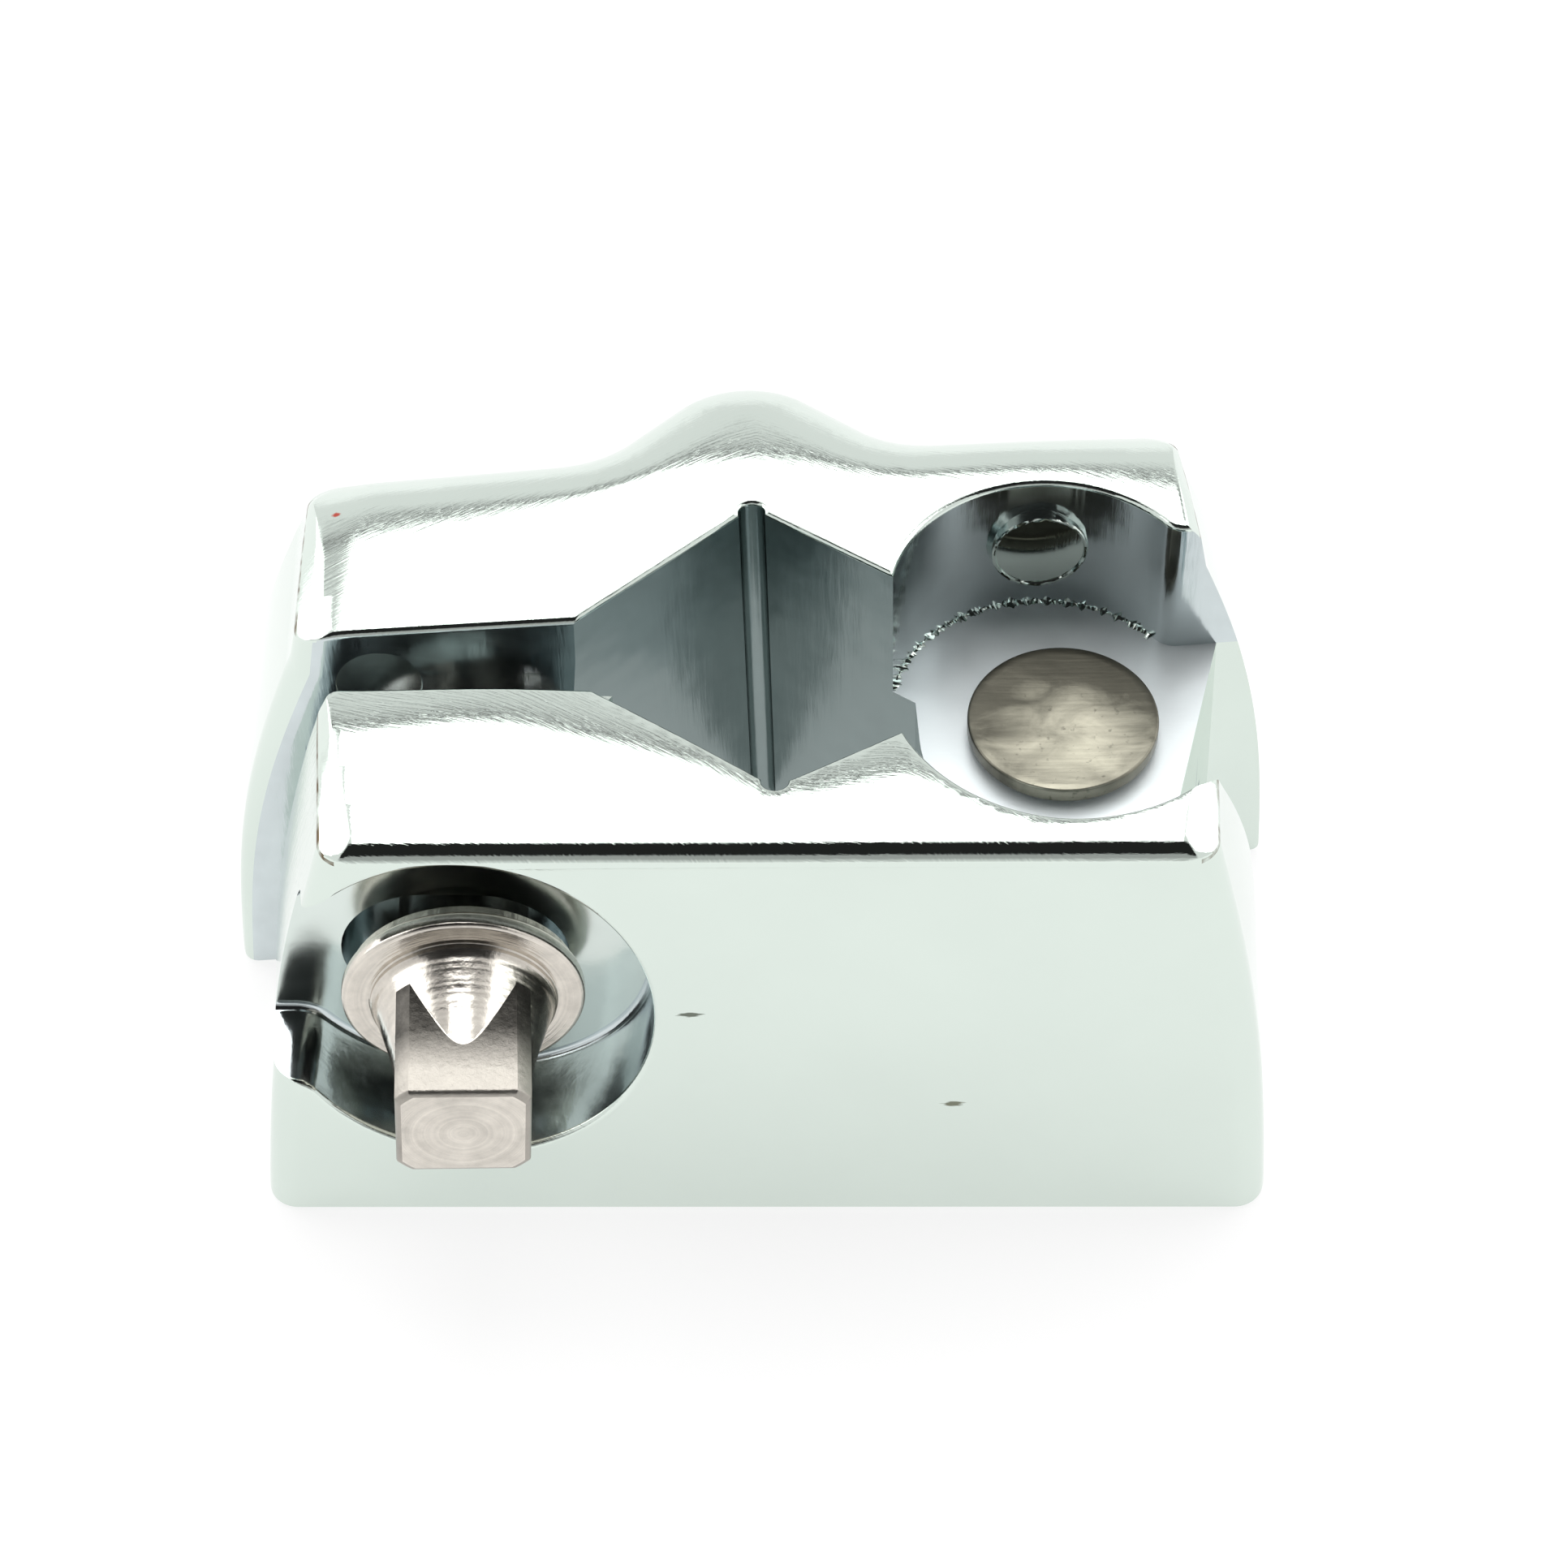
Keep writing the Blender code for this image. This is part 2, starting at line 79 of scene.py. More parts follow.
REAR_YAW = 4.2
REAR_LAND_Y = 3.15
REAR_LAND_LEAN = 1.75
REAR_BULGE = 1.3
REAR_BACK_Y = 14.5
REAR_BACK_LEAN = 2.9
REAR_TOP_LEFT = 20.15
REAR_TOP_RIGHT = 19.8
REAR_FLARE_LEFT = 5.8
REAR_FLARE_RIGHT = 4.7
REAR_V_APEX = (0.0, 9.5)
REAR_V_HALF = 8.1
REAR_POCKET_CENTRE = (13.0, 2.83)
REAR_POCKET_R = 7.1
POCKET_START = 196.0
POCKET_END = 36.0
POCKET_BEND_R = 1.2
REAR_LUG_SIDE = ((21.6, 6.6), (17.9, -5.0))
REAR_END_FOOT_Y = 4.8
BULGE_HALF = 6.9
BULGE_OUT = 6.3
BULGE_ROOT_R = 5.0
BULGE_TIP_R = 4.5
REAR_BACK_CORNER_R = 1.8
GROOVE_R = 0.6

PIN_X = 13.74
PIN_Y = 1.52
PIN_R = 2.5
PIN_HEAD_R = 4.4
PIN_HEAD_T = 0.8
PIN_FOOT_Z = 1.0
PIN_DISH = 0.16
SHELF_Z = 13.55
LUG_SPLIT_Z = 7.75
LUG_GAP = 0.3
LUG_R = 6.6
LUG_FOOT_Z = 1.6
LUG_POCKET_R = 7.1
TOUCH_GAP = 0.3

# Edge rolls (width, drop), the height of the slanted end facets and how far they move each corner along X
FACET_DROP = 0.9
FRONT_TOP_ROLL = (1.0, 0.88)
FRONT_LAND_ROLL = (0.3, 0.3)
FRONT_FACETS = (1.7, -1.7, -0.5, 0.45)
REAR_BACK_ROLL = (3.8, 1.8)
REAR_LAND_ROLL = (0.33, 0.33)
REAR_FACETS = (1.7, -0.8, -0.5, 0.0, 0.0, 0.0, 0.3)
FRONT_V_LIP = 0.12
FRONT_ARC_LIP = 0.15
REAR_V_LIP = 0.22
POCKET_LIP = 0.28
TOP_ZONE = 1.3

SCREW_X = -13.05
SCREW_Y = -12.78
SCREW_Z = 12.24
SHANK_R = 2.9
RECESS_R = 8.4
RECESS_FLOOR_Y = -10.1
RECESS_NECK_HALF = 4.0
RECESS_LIP_R = 1.6
SLOT_X = -13.6
SLOT_HALF_X = 5.1
SLOT_R = 4.1

FLANGE_R = 5.36
FLANGE_T = 0.8
BOSS_R = 4.1
BOSS_T = 0.35
CONE_TIP_R = 2.7
CONE_END = -5.9
CONE_HOLLOW = 0.18
HEAD_FLAT = 5.8
HEAD_CORNER_R = 3.7
HEAD_OUT = 7.1
HEAD_TURN = -5.0
HEAD_CHAMFER = ((0.30, 1.0), (0.17, 0.985), (0.08, 0.955), (0.03, 0.91), (0.0, 0.80))
SHANK_END = 20.0

# Marks left by the die: a spur at the front V, ejector marks (x, z, radius), and flash on the shelf
V_SPUR = ((-7.9, -2.2), (-6.9, -2.9), (-6.5, -2.15))
POCKET_MARK = (13.4, 17.5, 2.25)
POCKET_MARK_Y = 9.40
LAND_MARK = (-17.3, 18.2, 1.95)
FLASH_START = 164.0
FLASH_SWEEP = 126.0
FLASH_HEIGHT = (0.04, 0.24)
FLASH_WIDTH = (0.06, 0.40)

# Two nicks in the front face and a red speck on the rear jaw: centre, half sizes, colour
SURFACE_MARKS = (
    ((-1.89, -14.04, 12.17), (0.9, 1.5, 0.22), (0.16, 0.18, 0.15)),
    ((9.83, -15.00, 6.78), (1.0, 1.5, 0.30), (0.20, 0.21, 0.16)),
    ((-18.51, 8.06, 21.2), (0.45, 0.36, 0.9), (0.60, 0.10, 0.07)),
)

# Material slots of a jaw, and of the screw
POLISHED, CAST, EDGE, SATIN, DRAWN, FROSTED = 0, 1, 2, 3, 4, 5
TURNED, MILLED = 0, 1

# Linear colours
CHROME_TINT = (0.68, 0.755, 0.70)
CAST_TINT = (0.60, 0.66, 0.67)
# The V walls' tint: partly darker as-cast plating, partly painted shade for the shadowed inside of the V
DRAWN_TINT_PAINTED_SHADE = (0.27, 0.325, 0.32)
SATIN_TINT = (0.72, 0.79, 0.75)
FROSTED_TINT = (0.80, 0.85, 0.86)
# Dark brown of the line painted on the end facets' outer rim, a painted reflection of the crisp edge
PAINTED_EDGE_TINT = (0.13, 0.09, 0.045)
PIN_TINT = (0.185, 0.178, 0.142)
# Centre of the painted highlight on the pin's head, in metres
PIN_SHINE = (0.4 * MM, -2.4 * MM, 14.65 * MM)
SCREW_TINT = (0.66, 0.62, 0.56)
MILLED_TINT = (0.42, 0.395, 0.355)
# Along the screw's axis, in metres: the milled flats are dark up to the first place and light past the second
FLATS_FADE_FROM = -3.6 * MM
FLATS_FADE_TO = -6.0 * MM
TABLE_TINT = (0.26, 0.26, 0.26)
TABLE_GLOW = 0.80


# ---------------------------------------------------------------- node helpers
def new_material(name):
    """A node material, its tree and its shader."""
    material = bpy.data.materials.new(name)
    material.use_nodes = True
    return material, material.node_tree, material.node_tree.nodes["Principled BSDF"]


def add_node(tree, kind, inputs=None, **settings):
    """Add a node; inputs maps a socket name or number to a value or to another node's output."""
    node = tree.nodes.new(kind)
    for key, value in settings.items():
        setattr(node, key, value)
    for key, value in (inputs or {}).items():
        if isinstance(value, bpy.types.NodeSocket):
            tree.links.new(value, node.inputs[key])
        else:
            node.inputs[key].default_value = value
    return node


def ramp(tree, factor, stops):
    node = add_node(tree, "ShaderNodeValToRGB", {"Fac": factor})
    elements = node.color_ramp.elements
    while len(elements) < len(stops):
        elements.new(0.5)
    for element, (place, value) in zip(elements, stops):
        element.position = place
        element.color = (value, value, value, 1.0) if isinstance(value, float) else (*value, 1.0)
    return node.outputs["Color"]


def noise(tree, coords, scale, detail=3.0, roughness=0.5, distortion=0.0):
    settings = {"Vector": coords, "Scale": scale, "Detail": detail, "Roughness": roughness}
    settings["Distortion"] = distortion
    return add_node(tree, "ShaderNodeTexNoise", settings).outputs["Fac"]


def mapped(tree, source, scale, turn=0.0):
    settings = {"Vector": source, "Scale": scale, "Rotation": (0.0, 0.0, math.radians(turn))}
    return add_node(tree, "ShaderNodeMapping", settings).outputs["Vector"]


def object_place(tree):
    return add_node(tree, "ShaderNodeTexCoord").outputs["Object"]


def vector_node(tree, operation, first, second, output="Vector"):
    return add_node(tree, "ShaderNodeVectorMath", {0: first, 1: second}, operation=operation).outputs[output]


def math_node(tree, operation, first, second=0.0, third=0.0):
    return add_node(tree, "ShaderNodeMath", {0: first, 1: second, 2: third}, operation=operation).outputs[0]


def colour_mix(tree, factor, low, high):
    node = add_node(tree, "ShaderNodeMix", data_type="RGBA")
    for name, value in (("Factor", factor), ("A", low), ("B", high)):
        if isinstance(value, bpy.types.NodeSocket):
            tree.links.new(value, node.inputs[name])
        else:
            node.inputs[name].default_value = value if name == "Factor" else (*value, 1.0)
    return node.outputs["Result"]


def scaled(colour, factor):
    """A colour made lighter or darker, kept within range."""
    return tuple(min(1.0, c * factor) for c in colour)


def bump(tree, height, distance, under=None):
    settings = {"Height": height, "Strength": 1.0, "Distance": distance}
    if under:
        settings["Normal"] = under
    return add_node(tree, "ShaderNodeBump", settings).outputs["Normal"]


def in_metres(point):
    return tuple(c * MM for c in point)


def mark_mask(tree, place, centre, size):
    """Ragged ellipsoid round a place on the surface; its centre and half sizes in millimetres."""
    away = vector_node(tree, "SUBTRACT", place, in_metres(centre))
    away = vector_node(tree, "DIVIDE", away, in_metres(size))
    reach = vector_node(tree, "LENGTH", away, (0.0, 0.0, 0.0), "Value")
    ragged = noise(tree, mapped(tree, place, (900.0, 900.0, 5200.0)), 1.0, 3.0)
    return ramp(tree, math_node(tree, "MULTIPLY_ADD", ragged, 1.4, math_node(tree, "MULTIPLY", reach, 0.6)),
                ((0.80, 1.0), (1.0, 0.0)))


# ---------------------------------------------------------------- materials
def polished_chrome():
    """Buffed plating: mirror bright, with hair-fine polishing lines that follow the crowned edges."""
    material, tree, shader = new_material("polished_chrome")
    place = object_place(tree)
    flow = add_node(tree, "ShaderNodeAttribute", attribute_name="flow").outputs["Vector"]
    cloud = noise(tree, place, 160.0, 4.0)
    clean = colour_mix(tree, cloud, scaled(CHROME_TINT, 0.98), scaled(CHROME_TINT, 1.04))
    for centre, size, tint in SURFACE_MARKS:
        clean = colour_mix(tree, mark_mask(tree, place, centre, size), clean, tint)
    tree.links.new(clean, shader.inputs["Base Color"])
    shader.inputs["Metallic"].default_value = 1.0
    shader.inputs["Roughness"].default_value = 0.035
    hair = noise(tree, mapped(tree, flow, (0.55, 7.0, 1.0)), 1.0, 4.0, 0.6)
    wave = noise(tree, place, 85.0, 1.0)
    first = bump(tree, wave, 0.00010)
    tree.links.new(bump(tree, hair, 0.000010, first), shader.inputs["Normal"])
    return material


def cast_chrome(name, tint, rough_low, rough_high):
    """Plating over an unpolished casting skin: darker, with fine upright drawing lines; on the V walls the
    tint is further darkened as painted shade.
    """
    material, tree, shader = new_material(name)
    place = object_place(tree)
    cloud = noise(tree, place, 420.0, 4.0)
    tree.links.new(colour_mix(tree, cloud, scaled(tint, 0.84), scaled(tint, 1.14)),
                   shader.inputs["Base Color"])
    shader.inputs["Metallic"].default_value = 1.0
    tree.links.new(ramp(tree, cloud, ((0.3, rough_low), (0.7, rough_high))), shader.inputs["Roughness"])
    streak = noise(tree, mapped(tree, place, (1500.0, 1500.0, 160.0)), 1.0, 4.0, 0.6)
    wave = noise(tree, place, 260.0, 2.0)
    first = bump(tree, wave, 0.00006)
    tree.links.new(bump(tree, streak, 0.000012, first), shader.inputs["Normal"])
    return material


def satin_chrome(name, tint, metallic, rough_low, rough_high):
    """Plating on the pocket floors: soft and faintly scratched."""
    material, tree, shader = new_material(name)
    place = object_place(tree)
    cloud = noise(tree, place, 300.0, 4.0)
    tree.links.new(colour_mix(tree, cloud, scaled(tint, 0.92), scaled(tint, 1.08)),
                   shader.inputs["Base Color"])
    shader.inputs["Metallic"].default_value = metallic
    tree.links.new(ramp(tree, cloud, ((0.3, rough_low), (0.7, rough_high))), shader.inputs["Roughness"])
    scratch = noise(tree, mapped(tree, place, (700.0, 2600.0, 700.0), 35.0), 1.0, 3.0)
    wave = noise(tree, place, 240.0, 1.0)
    first = bump(tree, wave, 0.00008)
    tree.links.new(bump(tree, scratch, 0.000008, first), shader.inputs["Normal"])
    return material


def painted_edge_line():
    """Thin dark brown line along the ends, painted on as the reflection of the crisp edge."""
    material, tree, shader = new_material("painted_edge_reflection")
    cloud = noise(tree, object_place(tree), 900.0, 4.0)
    tree.links.new(colour_mix(tree, ramp(tree, cloud, ((0.42, 0.0), (0.62, 1.0))), PAINTED_EDGE_TINT, CHROME_TINT),
                   shader.inputs["Base Color"])
    shader.inputs["Metallic"].default_value = 1.0
    tree.links.new(ramp(tree, cloud, ((0.3, 0.12), (0.7, 0.25))), shader.inputs["Roughness"])
    return material


def pin_steel():
    """Dull, warm plating with smears and fine scratches; its colour carries a painted highlight near
    PIN_SHINE and painted shade away from it.
    """
    material, tree, shader = new_material("worn_pin_steel")
    place = object_place(tree)
    smear = noise(tree, mapped(tree, place, (1.0, 1.6, 1.0), 25.0), 330.0, 5.0, 0.6, 0.6)
    fleck = ramp(tree, noise(tree, place, 2600.0, 3.0), ((0.62, 0.0), (0.72, 0.6)))
    # Painted highlight and shade: lighter near PIN_SHINE, darker with distance, broken up by the smears
    reach = vector_node(tree, "DISTANCE", place, PIN_SHINE, "Value")
    dull = math_node(tree, "MULTIPLY_ADD", reach, 135.0, math_node(tree, "MULTIPLY", smear, 0.7))
    dull = ramp(tree, dull, ((0.42, 0.0), (1.15, 1.0)))
    tint = colour_mix(tree, dull, scaled(PIN_TINT, 1.9), scaled(PIN_TINT, 0.42))
    tree.links.new(colour_mix(tree, fleck, tint, scaled(PIN_TINT, 0.45)), shader.inputs["Base Color"])
    shader.inputs["Metallic"].default_value = 1.0
    tree.links.new(ramp(tree, smear, ((0.3, 0.30), (0.7, 0.44))), shader.inputs["Roughness"])
    scratch = noise(tree, mapped(tree, place, (260.0, 4200.0, 260.0), -38.0), 1.0, 3.0)
    grain = noise(tree, place, 1500.0, 3.0)
    first = bump(tree, grain, 0.00001)
    tree.links.new(bump(tree, scratch, 0.00001, first), shader.inputs["Normal"])
    return material


def screw_steel(name, rough_low, rough_high, grain_height):
    """Bright steel, speckled, with turning rings on faces that lie square to the axis."""
    material, tree, shader = new_material(name)
    place = object_place(tree)
    cloud = noise(tree, place, 750.0, 6.0, 0.65)
    flat = vector_node(tree, "MULTIPLY", place, (1.0, 0.0, 1.0))
    radius = vector_node(tree, "LENGTH", flat, (0.0, 0.0, 0.0), "Value")
    rings = noise(tree, add_node(tree, "ShaderNodeCombineXYZ", {"X": radius}).outputs[0], 2600.0, 3.0, 0.7)
    mottle = math_node(tree, "MULTIPLY_ADD", rings, 0.5, math_node(tree, "MULTIPLY", cloud, 0.5))
    tree.links.new(colour_mix(tree, ramp(tree, mottle, ((0.36, 0.0), (0.62, 1.0))), scaled(SCREW_TINT, 0.78),
                              scaled(SCREW_TINT, 1.15)), shader.inputs["Base Color"])
    shader.inputs["Metallic"].default_value = 1.0
    tree.links.new(ramp(tree, cloud, ((0.3, rough_low), (0.7, rough_high))), shader.inputs["Roughness"])
    grain = noise(tree, place, 3000.0, 3.0)
    first = bump(tree, grain, grain_height)
    tree.links.new(bump(tree, rings, 0.00005, first), shader.inputs["Normal"])
    return material


def milled_steel():
    """The square's grainy flats, darker where they run into the cone."""
    material, tree, shader = new_material("milled_screw_steel")
    place = object_place(tree)
    cloud = noise(tree, place, 900.0, 6.0, 0.65)
    grain = noise(tree, place, 3200.0, 4.0, 0.7)
    along = add_node(tree, "ShaderNodeSeparateXYZ", {"Vector": place}).outputs["Y"]
    # Darker towards the cone, lighter towards the end of the head
    span = {"Value": along, "From Min": FLATS_FADE_FROM, "From Max": FLATS_FADE_TO, "To Min": -0.15, "To Max": 0.85}
    clean = add_node(tree, "ShaderNodeMapRange", span).outputs["Result"]
    clean = ramp(tree, math_node(tree, "MULTIPLY_ADD", grain, 0.35, clean), ((0.05, 0.0), (0.95, 1.0)))
    tint = colour_mix(tree, clean, scaled(MILLED_TINT, 0.14), MILLED_TINT)
    pits = ramp(tree, cloud, ((0.35, 0.35), (0.6, 0.0)))
    tree.links.new(colour_mix(tree, pits, tint, scaled(MILLED_TINT, 0.4)), shader.inputs["Base Color"])
    shader.inputs["Metallic"].default_value = 1.0
    tree.links.new(ramp(tree, cloud, ((0.3, 0.30), (0.7, 0.42))), shader.inputs["Roughness"])
    tree.links.new(bump(tree, grain, 0.00003), shader.inputs["Normal"])
    return material


def table_material():
    """Matt white that glows a little, so that it stays white under the clamp."""
    material, tree, shader = new_material("white_table")
    shader.inputs["Base Color"].default_value = (*TABLE_TINT, 1.0)
    shader.inputs["Roughness"].default_value = 0.9
    shader.inputs["Specular IOR Level"].default_value = 0.1
    shader.inputs["Emission Color"].default_value = (1.0, 1.0, 1.0, 1.0)
    shader.inputs["Emission Strength"].default_value = TABLE_GLOW
    return material


# ---------------------------------------------------------------- drawing helpers, in millimetres
def arc(cx, cy, radius, start, end, steps):
    """Points on an arc, angles in degrees."""
    points = []
    for i in range(steps + 1):
        a = math.radians(start + (end - start) * i / steps)
        points.append((cx + radius * math.cos(a), cy + radius * math.sin(a)))
    return points


def offset_corner(before, corner, after, inset_before, inset_after):
    """Where a corner's two sides cross once each has moved inward (outline runs anticlockwise)."""
    d1 = (Vector(corner) - Vector(before)).normalized()
    d2 = (Vector(after) - Vector(corner)).normalized()
    n1 = Vector((-d1.y, d1.x))
    n2 = Vector((-d2.y, d2.x))
    cross = d1.x * d2.y - d1.y * d2.x
    if abs(cross) < 1e-6:
        return Vector(corner) + n1 * inset_before
    shift = n2 * inset_after - n1 * inset_before
    along = (shift.x * d2.y - shift.y * d2.x) / cross
    return Vector(corner) + n1 * inset_before + d1 * along


def offset_loop(points, inset):
    count = len(points)
    moved = []
    for i in range(count):
        corner = offset_corner(points[i - 1], points[i], points[(i + 1) % count], inset, inset)
        moved.append((corner.x, corner.y))
    return moved


def rounded_outline(corners, insets, drops, z):
    """Fillet every corner of an anticlockwise outline.

    Each corner is (x, y, radius, steps). Side i runs from corner i to corner i + 1, is moved inward by
    insets[i] and lowered by drops[i] below z.
    """
    count = len(corners)
    points = []
    for i in range(count):
        moved = []
        for j in (i - 1, i, i + 1):
            here = corners[j % count]
            before = corners[(j - 1) % count]
            after = corners[(j + 1) % count]
            inset_before = insets[(j - 1) % count]
            inset_after = insets[j % count]
            moved.append(offset_corner(before[:2], here[:2], after[:2], inset_before, inset_after))
        into = (moved[1] - moved[0]).normalized()
        out = (moved[2] - moved[1]).normalized()
        turn = math.atan2(into.x * out.y - into.y * out.x, into.dot(out))
        radius, steps = corners[i][2], corners[i][3]
        inset = 0.5 * (insets[i - 1] + insets[i])
        radius = max(0.15, radius - inset) if turn > 0 else radius + inset
        reach = radius * math.tan(abs(turn) / 2.0)
        side = 1.0 if turn > 0 else -1.0
        centre = moved[1] - into * reach + Vector((-into.y, into.x)) * radius * side
        first = moved[1] - into * reach - centre
        for k in range(steps + 1):
            share = k / steps
            spoke = Matrix.Rotation(turn * share, 2) @ first
            blend = share * share * (3.0 - 2.0 * share)
            drop = drops[i - 1] * (1.0 - blend) + drops[i] * blend
            points.append((centre.x + spoke.x, centre.y + spoke.y, z - drop))
    return points


def skin(rings, slots=None):
    """Close a stack of rings into one solid; slots names the material slot of each band and of both ends."""
    bm = bmesh.new()
    loops = [[bm.verts.new(point) for point in ring] for ring in rings]
    count = len(loops[0])
    slots = slots or [0] * (len(rings) + 1)
    for band, (low, high) in enumerate(zip(loops, loops[1:])):
        for i in range(count):
            j = (i + 1) % count
            face = bm.faces.new((low[i], low[j], high[j], high[i]))
            face.material_index = slots[band + 1]
    bm.faces.new(list(reversed(loops[0]))).material_index = slots[0]
    bm.faces.new(loops[-1]).material_index = slots[-1]
    return bm


def prism(points, z0, z1, slot=CAST):
    """Upright prism on a plan outline."""
    return skin([[(x, y, z0) for x, y in points], [(x, y, z1) for x, y in points]], [slot] * 3)


def flared_prism(points, floor, top, flare, wall=CAST):
    """Cutter for a pocket: upright wall, and a rounded lip where it opens through the top."""
    steps = 4
    rings = [[(x, y, floor) for x, y in points]]
    slots = [FROSTED]
    for k in range(steps + 1):
        a = math.radians(90.0 * k / steps)
        moved = offset_loop(points, -flare * (1.0 - math.cos(a))) if k else points
        rings.append([(x, y, top - flare * (1.0 - math.sin(a))) for x, y in moved])
        slots.append(wall if k == 0 else POLISHED)
    rings.append([(x, y, top + 2.0) for x, y in offset_loop(points, -flare)])
    slots += [POLISHED, POLISHED]
    return skin(rings, slots)


def lathe_y(profile, segments):
    """Spin (radius, y) pairs about the Y axis."""
    rings = []
    for radius, y in profile:
        rings.append([(x, y, z) for x, z in arc(0.0, 0.0, radius, 0.0, 360.0, segments)[:-1]])
    return skin(rings)


def round_bar(cx, cy, radius, z0, z1, segments=64):
    """Upright cylinder."""
    return prism(arc(cx, cy, radius, 0.0, 360.0, segments)[:-1], z0, z1)


# ---------------------------------------------------------------- mesh helpers
def make_piece(name, bm, materials, shift=(-ORIGIN_X, -ORIGIN_Y, 0.0)):
    """Turn a bmesh drawn in millimetres into an object in metres."""
    bmesh.ops.recalc_face_normals(bm, faces=bm.faces[:])
    bmesh.ops.translate(bm, vec=shift, verts=bm.verts[:])
    bmesh.ops.scale(bm, vec=(MM, MM, MM), verts=bm.verts[:])
    mesh = bpy.data.meshes.new(name)
    bm.to_mesh(mesh)
    bm.free()
    for material in materials:
        mesh.materials.append(material)
    piece = bpy.data.objects.new(name, mesh)
    bpy.context.scene.collection.objects.link(piece)
    return piece


def boolean(target, bm, operation="DIFFERENCE", shift=(-ORIGIN_X, -ORIGIN_Y, 0.0)):
    """Cut or join another mesh, whose faces keep their material slots."""
    cutter = make_piece("cutter", bm, list(target.data.materials), shift)
    modifier = target.modifiers.new("cut", "BOOLEAN")
    modifier.operation = operation
    modifier.solver = "EXACT"
    modifier.object = cutter
    bpy.context.view_layer.update()
    graph = bpy.context.evaluated_depsgraph_get()
    result = bpy.data.meshes.new_from_object(target.evaluated_get(graph))
    target.modifiers.clear()
    target.data = result
    bpy.data.objects.remove(cutter, do_unlink=True)


def finish_normals(piece, angle=35.0):
    """Shade smooth, sharp past an angle, with normals that follow the larger faces."""
    piece.data.shade_smooth()
    piece.data.set_sharp_from_angle(angle=math.radians(angle))
    weights = piece.modifiers.new("weights", "WEIGHTED_NORMAL")
    weights.mode = "FACE_AREA"
    weights.weight = 100
    weights.keep_sharp = True


def smooth_curve(knots, x):
    """Height of a smooth curve through (x, y) knots, level beyond both ends."""
    if x <= knots[0][0]:
        return knots[0][1]
    if x >= knots[-1][0]:
        return knots[-1][1]
    i = max(k for k in range(len(knots) - 1) if knots[k][0] <= x)
    x0, y0 = knots[i]
    x1, y1 = knots[i + 1]
    before = knots[max(i - 1, 0)]
    after = knots[min(i + 2, len(knots) - 1)]
    m0 = (y1 - before[1]) / (x1 - before[0])
    m1 = (after[1] - y0) / (after[0] - x0)
    t = (x - x0) / (x1 - x0)
    h = x1 - x0
    return ((2 * t ** 3 - 3 * t ** 2 + 1) * y0 + (t ** 3 - 2 * t ** 2 + t) * h * m0
            + (-2 * t ** 3 + 3 * t ** 2) * y1 + (t ** 3 - t ** 2) * h * m1)


def rolled_drop(distance, slope, run):
    """Drop of a surface that bends away from flat and settles at a slope."""
    if distance <= 0.0:
        return 0.0
    return slope * (distance + run * (math.exp(-distance / run) - 1.0))


def jaw_shell(corners_at, rolls, ends):
    """Skin a jaw from its foot to its top.

    rolls lists each side's (width, drop); ends lists how far each corner moves along X across the roll,
    which makes the slanted facets at the jaw's two ends.
    """
    levels = 24
    flat = [0.0] * len(rolls)
    rings = []
    slots = [CAST]
    for angle in (0.0, 30.0, 60.0):
        inset = FOOT_R * (1.0 - math.sin(math.radians(angle)))
        z = FOOT_R * (1.0 - math.cos(math.radians(angle)))
        rings.append(rounded_outline(corners_at(1.0), [inset] * len(rolls), flat, z))
        slots.append(POLISHED)
    deepest = max(drop for width, drop, shape in rolls)
    for i in range(levels + 1):
        z = FOOT_R + (HEIGHT - deepest - FOOT_R) * i / levels
        drops = flat
        if i == levels:
            drops = [drop - deepest for width, drop, shape in rolls]
        rings.append(rounded_outline(corners_at(1.0 - z / HEIGHT), flat, drops, z))
        slots.append(POLISHED)
    steps = 12
    for k in range(1, steps + 1):
        share = k / steps
        insets = []
        drops = []
        for width, drop, shape in rolls:
            across, down = shape(share)
            insets.append(width * across)
            drops.append(drop * down)
        corners = []
        across = facet(share)[0]
        for (x, y, radius, count), move in zip(corners_at(deepest / HEIGHT), ends):
            corners.append((x + move * across, y, radius * (1.0 - 0.6 * across) if move else radius, count))
        rings.append(rounded_outline(corners, insets, drops, HEIGHT))
        slots.append(POLISHED)
    return skin(rings, slots)


def dull_land(piece, way, limit_y):
    """Give the upright faces that close on the other jaw the unpolished finish."""
    for face in piece.data.polygons:
        y = face.center.y / MM + ORIGIN_Y
        if face.normal.y * way > 0.9 and (y - limit_y) * way > 0.0:
            face.material_index = CAST


def paint_facet_edge_line(piece):
    """Give the outer rim of the slanted end facets the painted dark edge line."""
    low = HEIGHT - FACET_DROP * 0.99
    high = HEIGHT - FACET_DROP * 0.79
    for face in piece.data.polygons:
        x = face.center.x / MM + ORIGIN_X
        if low < face.center.z / MM < high and abs(x) > 16.0 and abs(face.normal.x) > 0.4:
            face.material_index = EDGE


def quarter(share, lean=10.0):
    """A quarter round that starts along a face leaning by that many degrees."""
    a = math.radians(lean + (90.0 - lean) * share)
    start = math.radians(lean)
    return 1.0 - math.cos(a) / math.cos(start), (1.0 - math.sin(a)) / (1.0 - math.sin(start))


def facet(share):
    """A flat slant with both of its edges rounded."""
    knots = [(0.0, 1.0), (0.03, 0.90), (0.10, 0.80), (0.45, 0.44), (0.72, 0.18), (0.87, 0.06), (1.0, 0.0)]
    place = share * (len(knots) - 1)
    i = min(int(place), len(knots) - 2)
    t = place - i
    return tuple(a + (b - a) * t for a, b in zip(knots[i], knots[i + 1]))


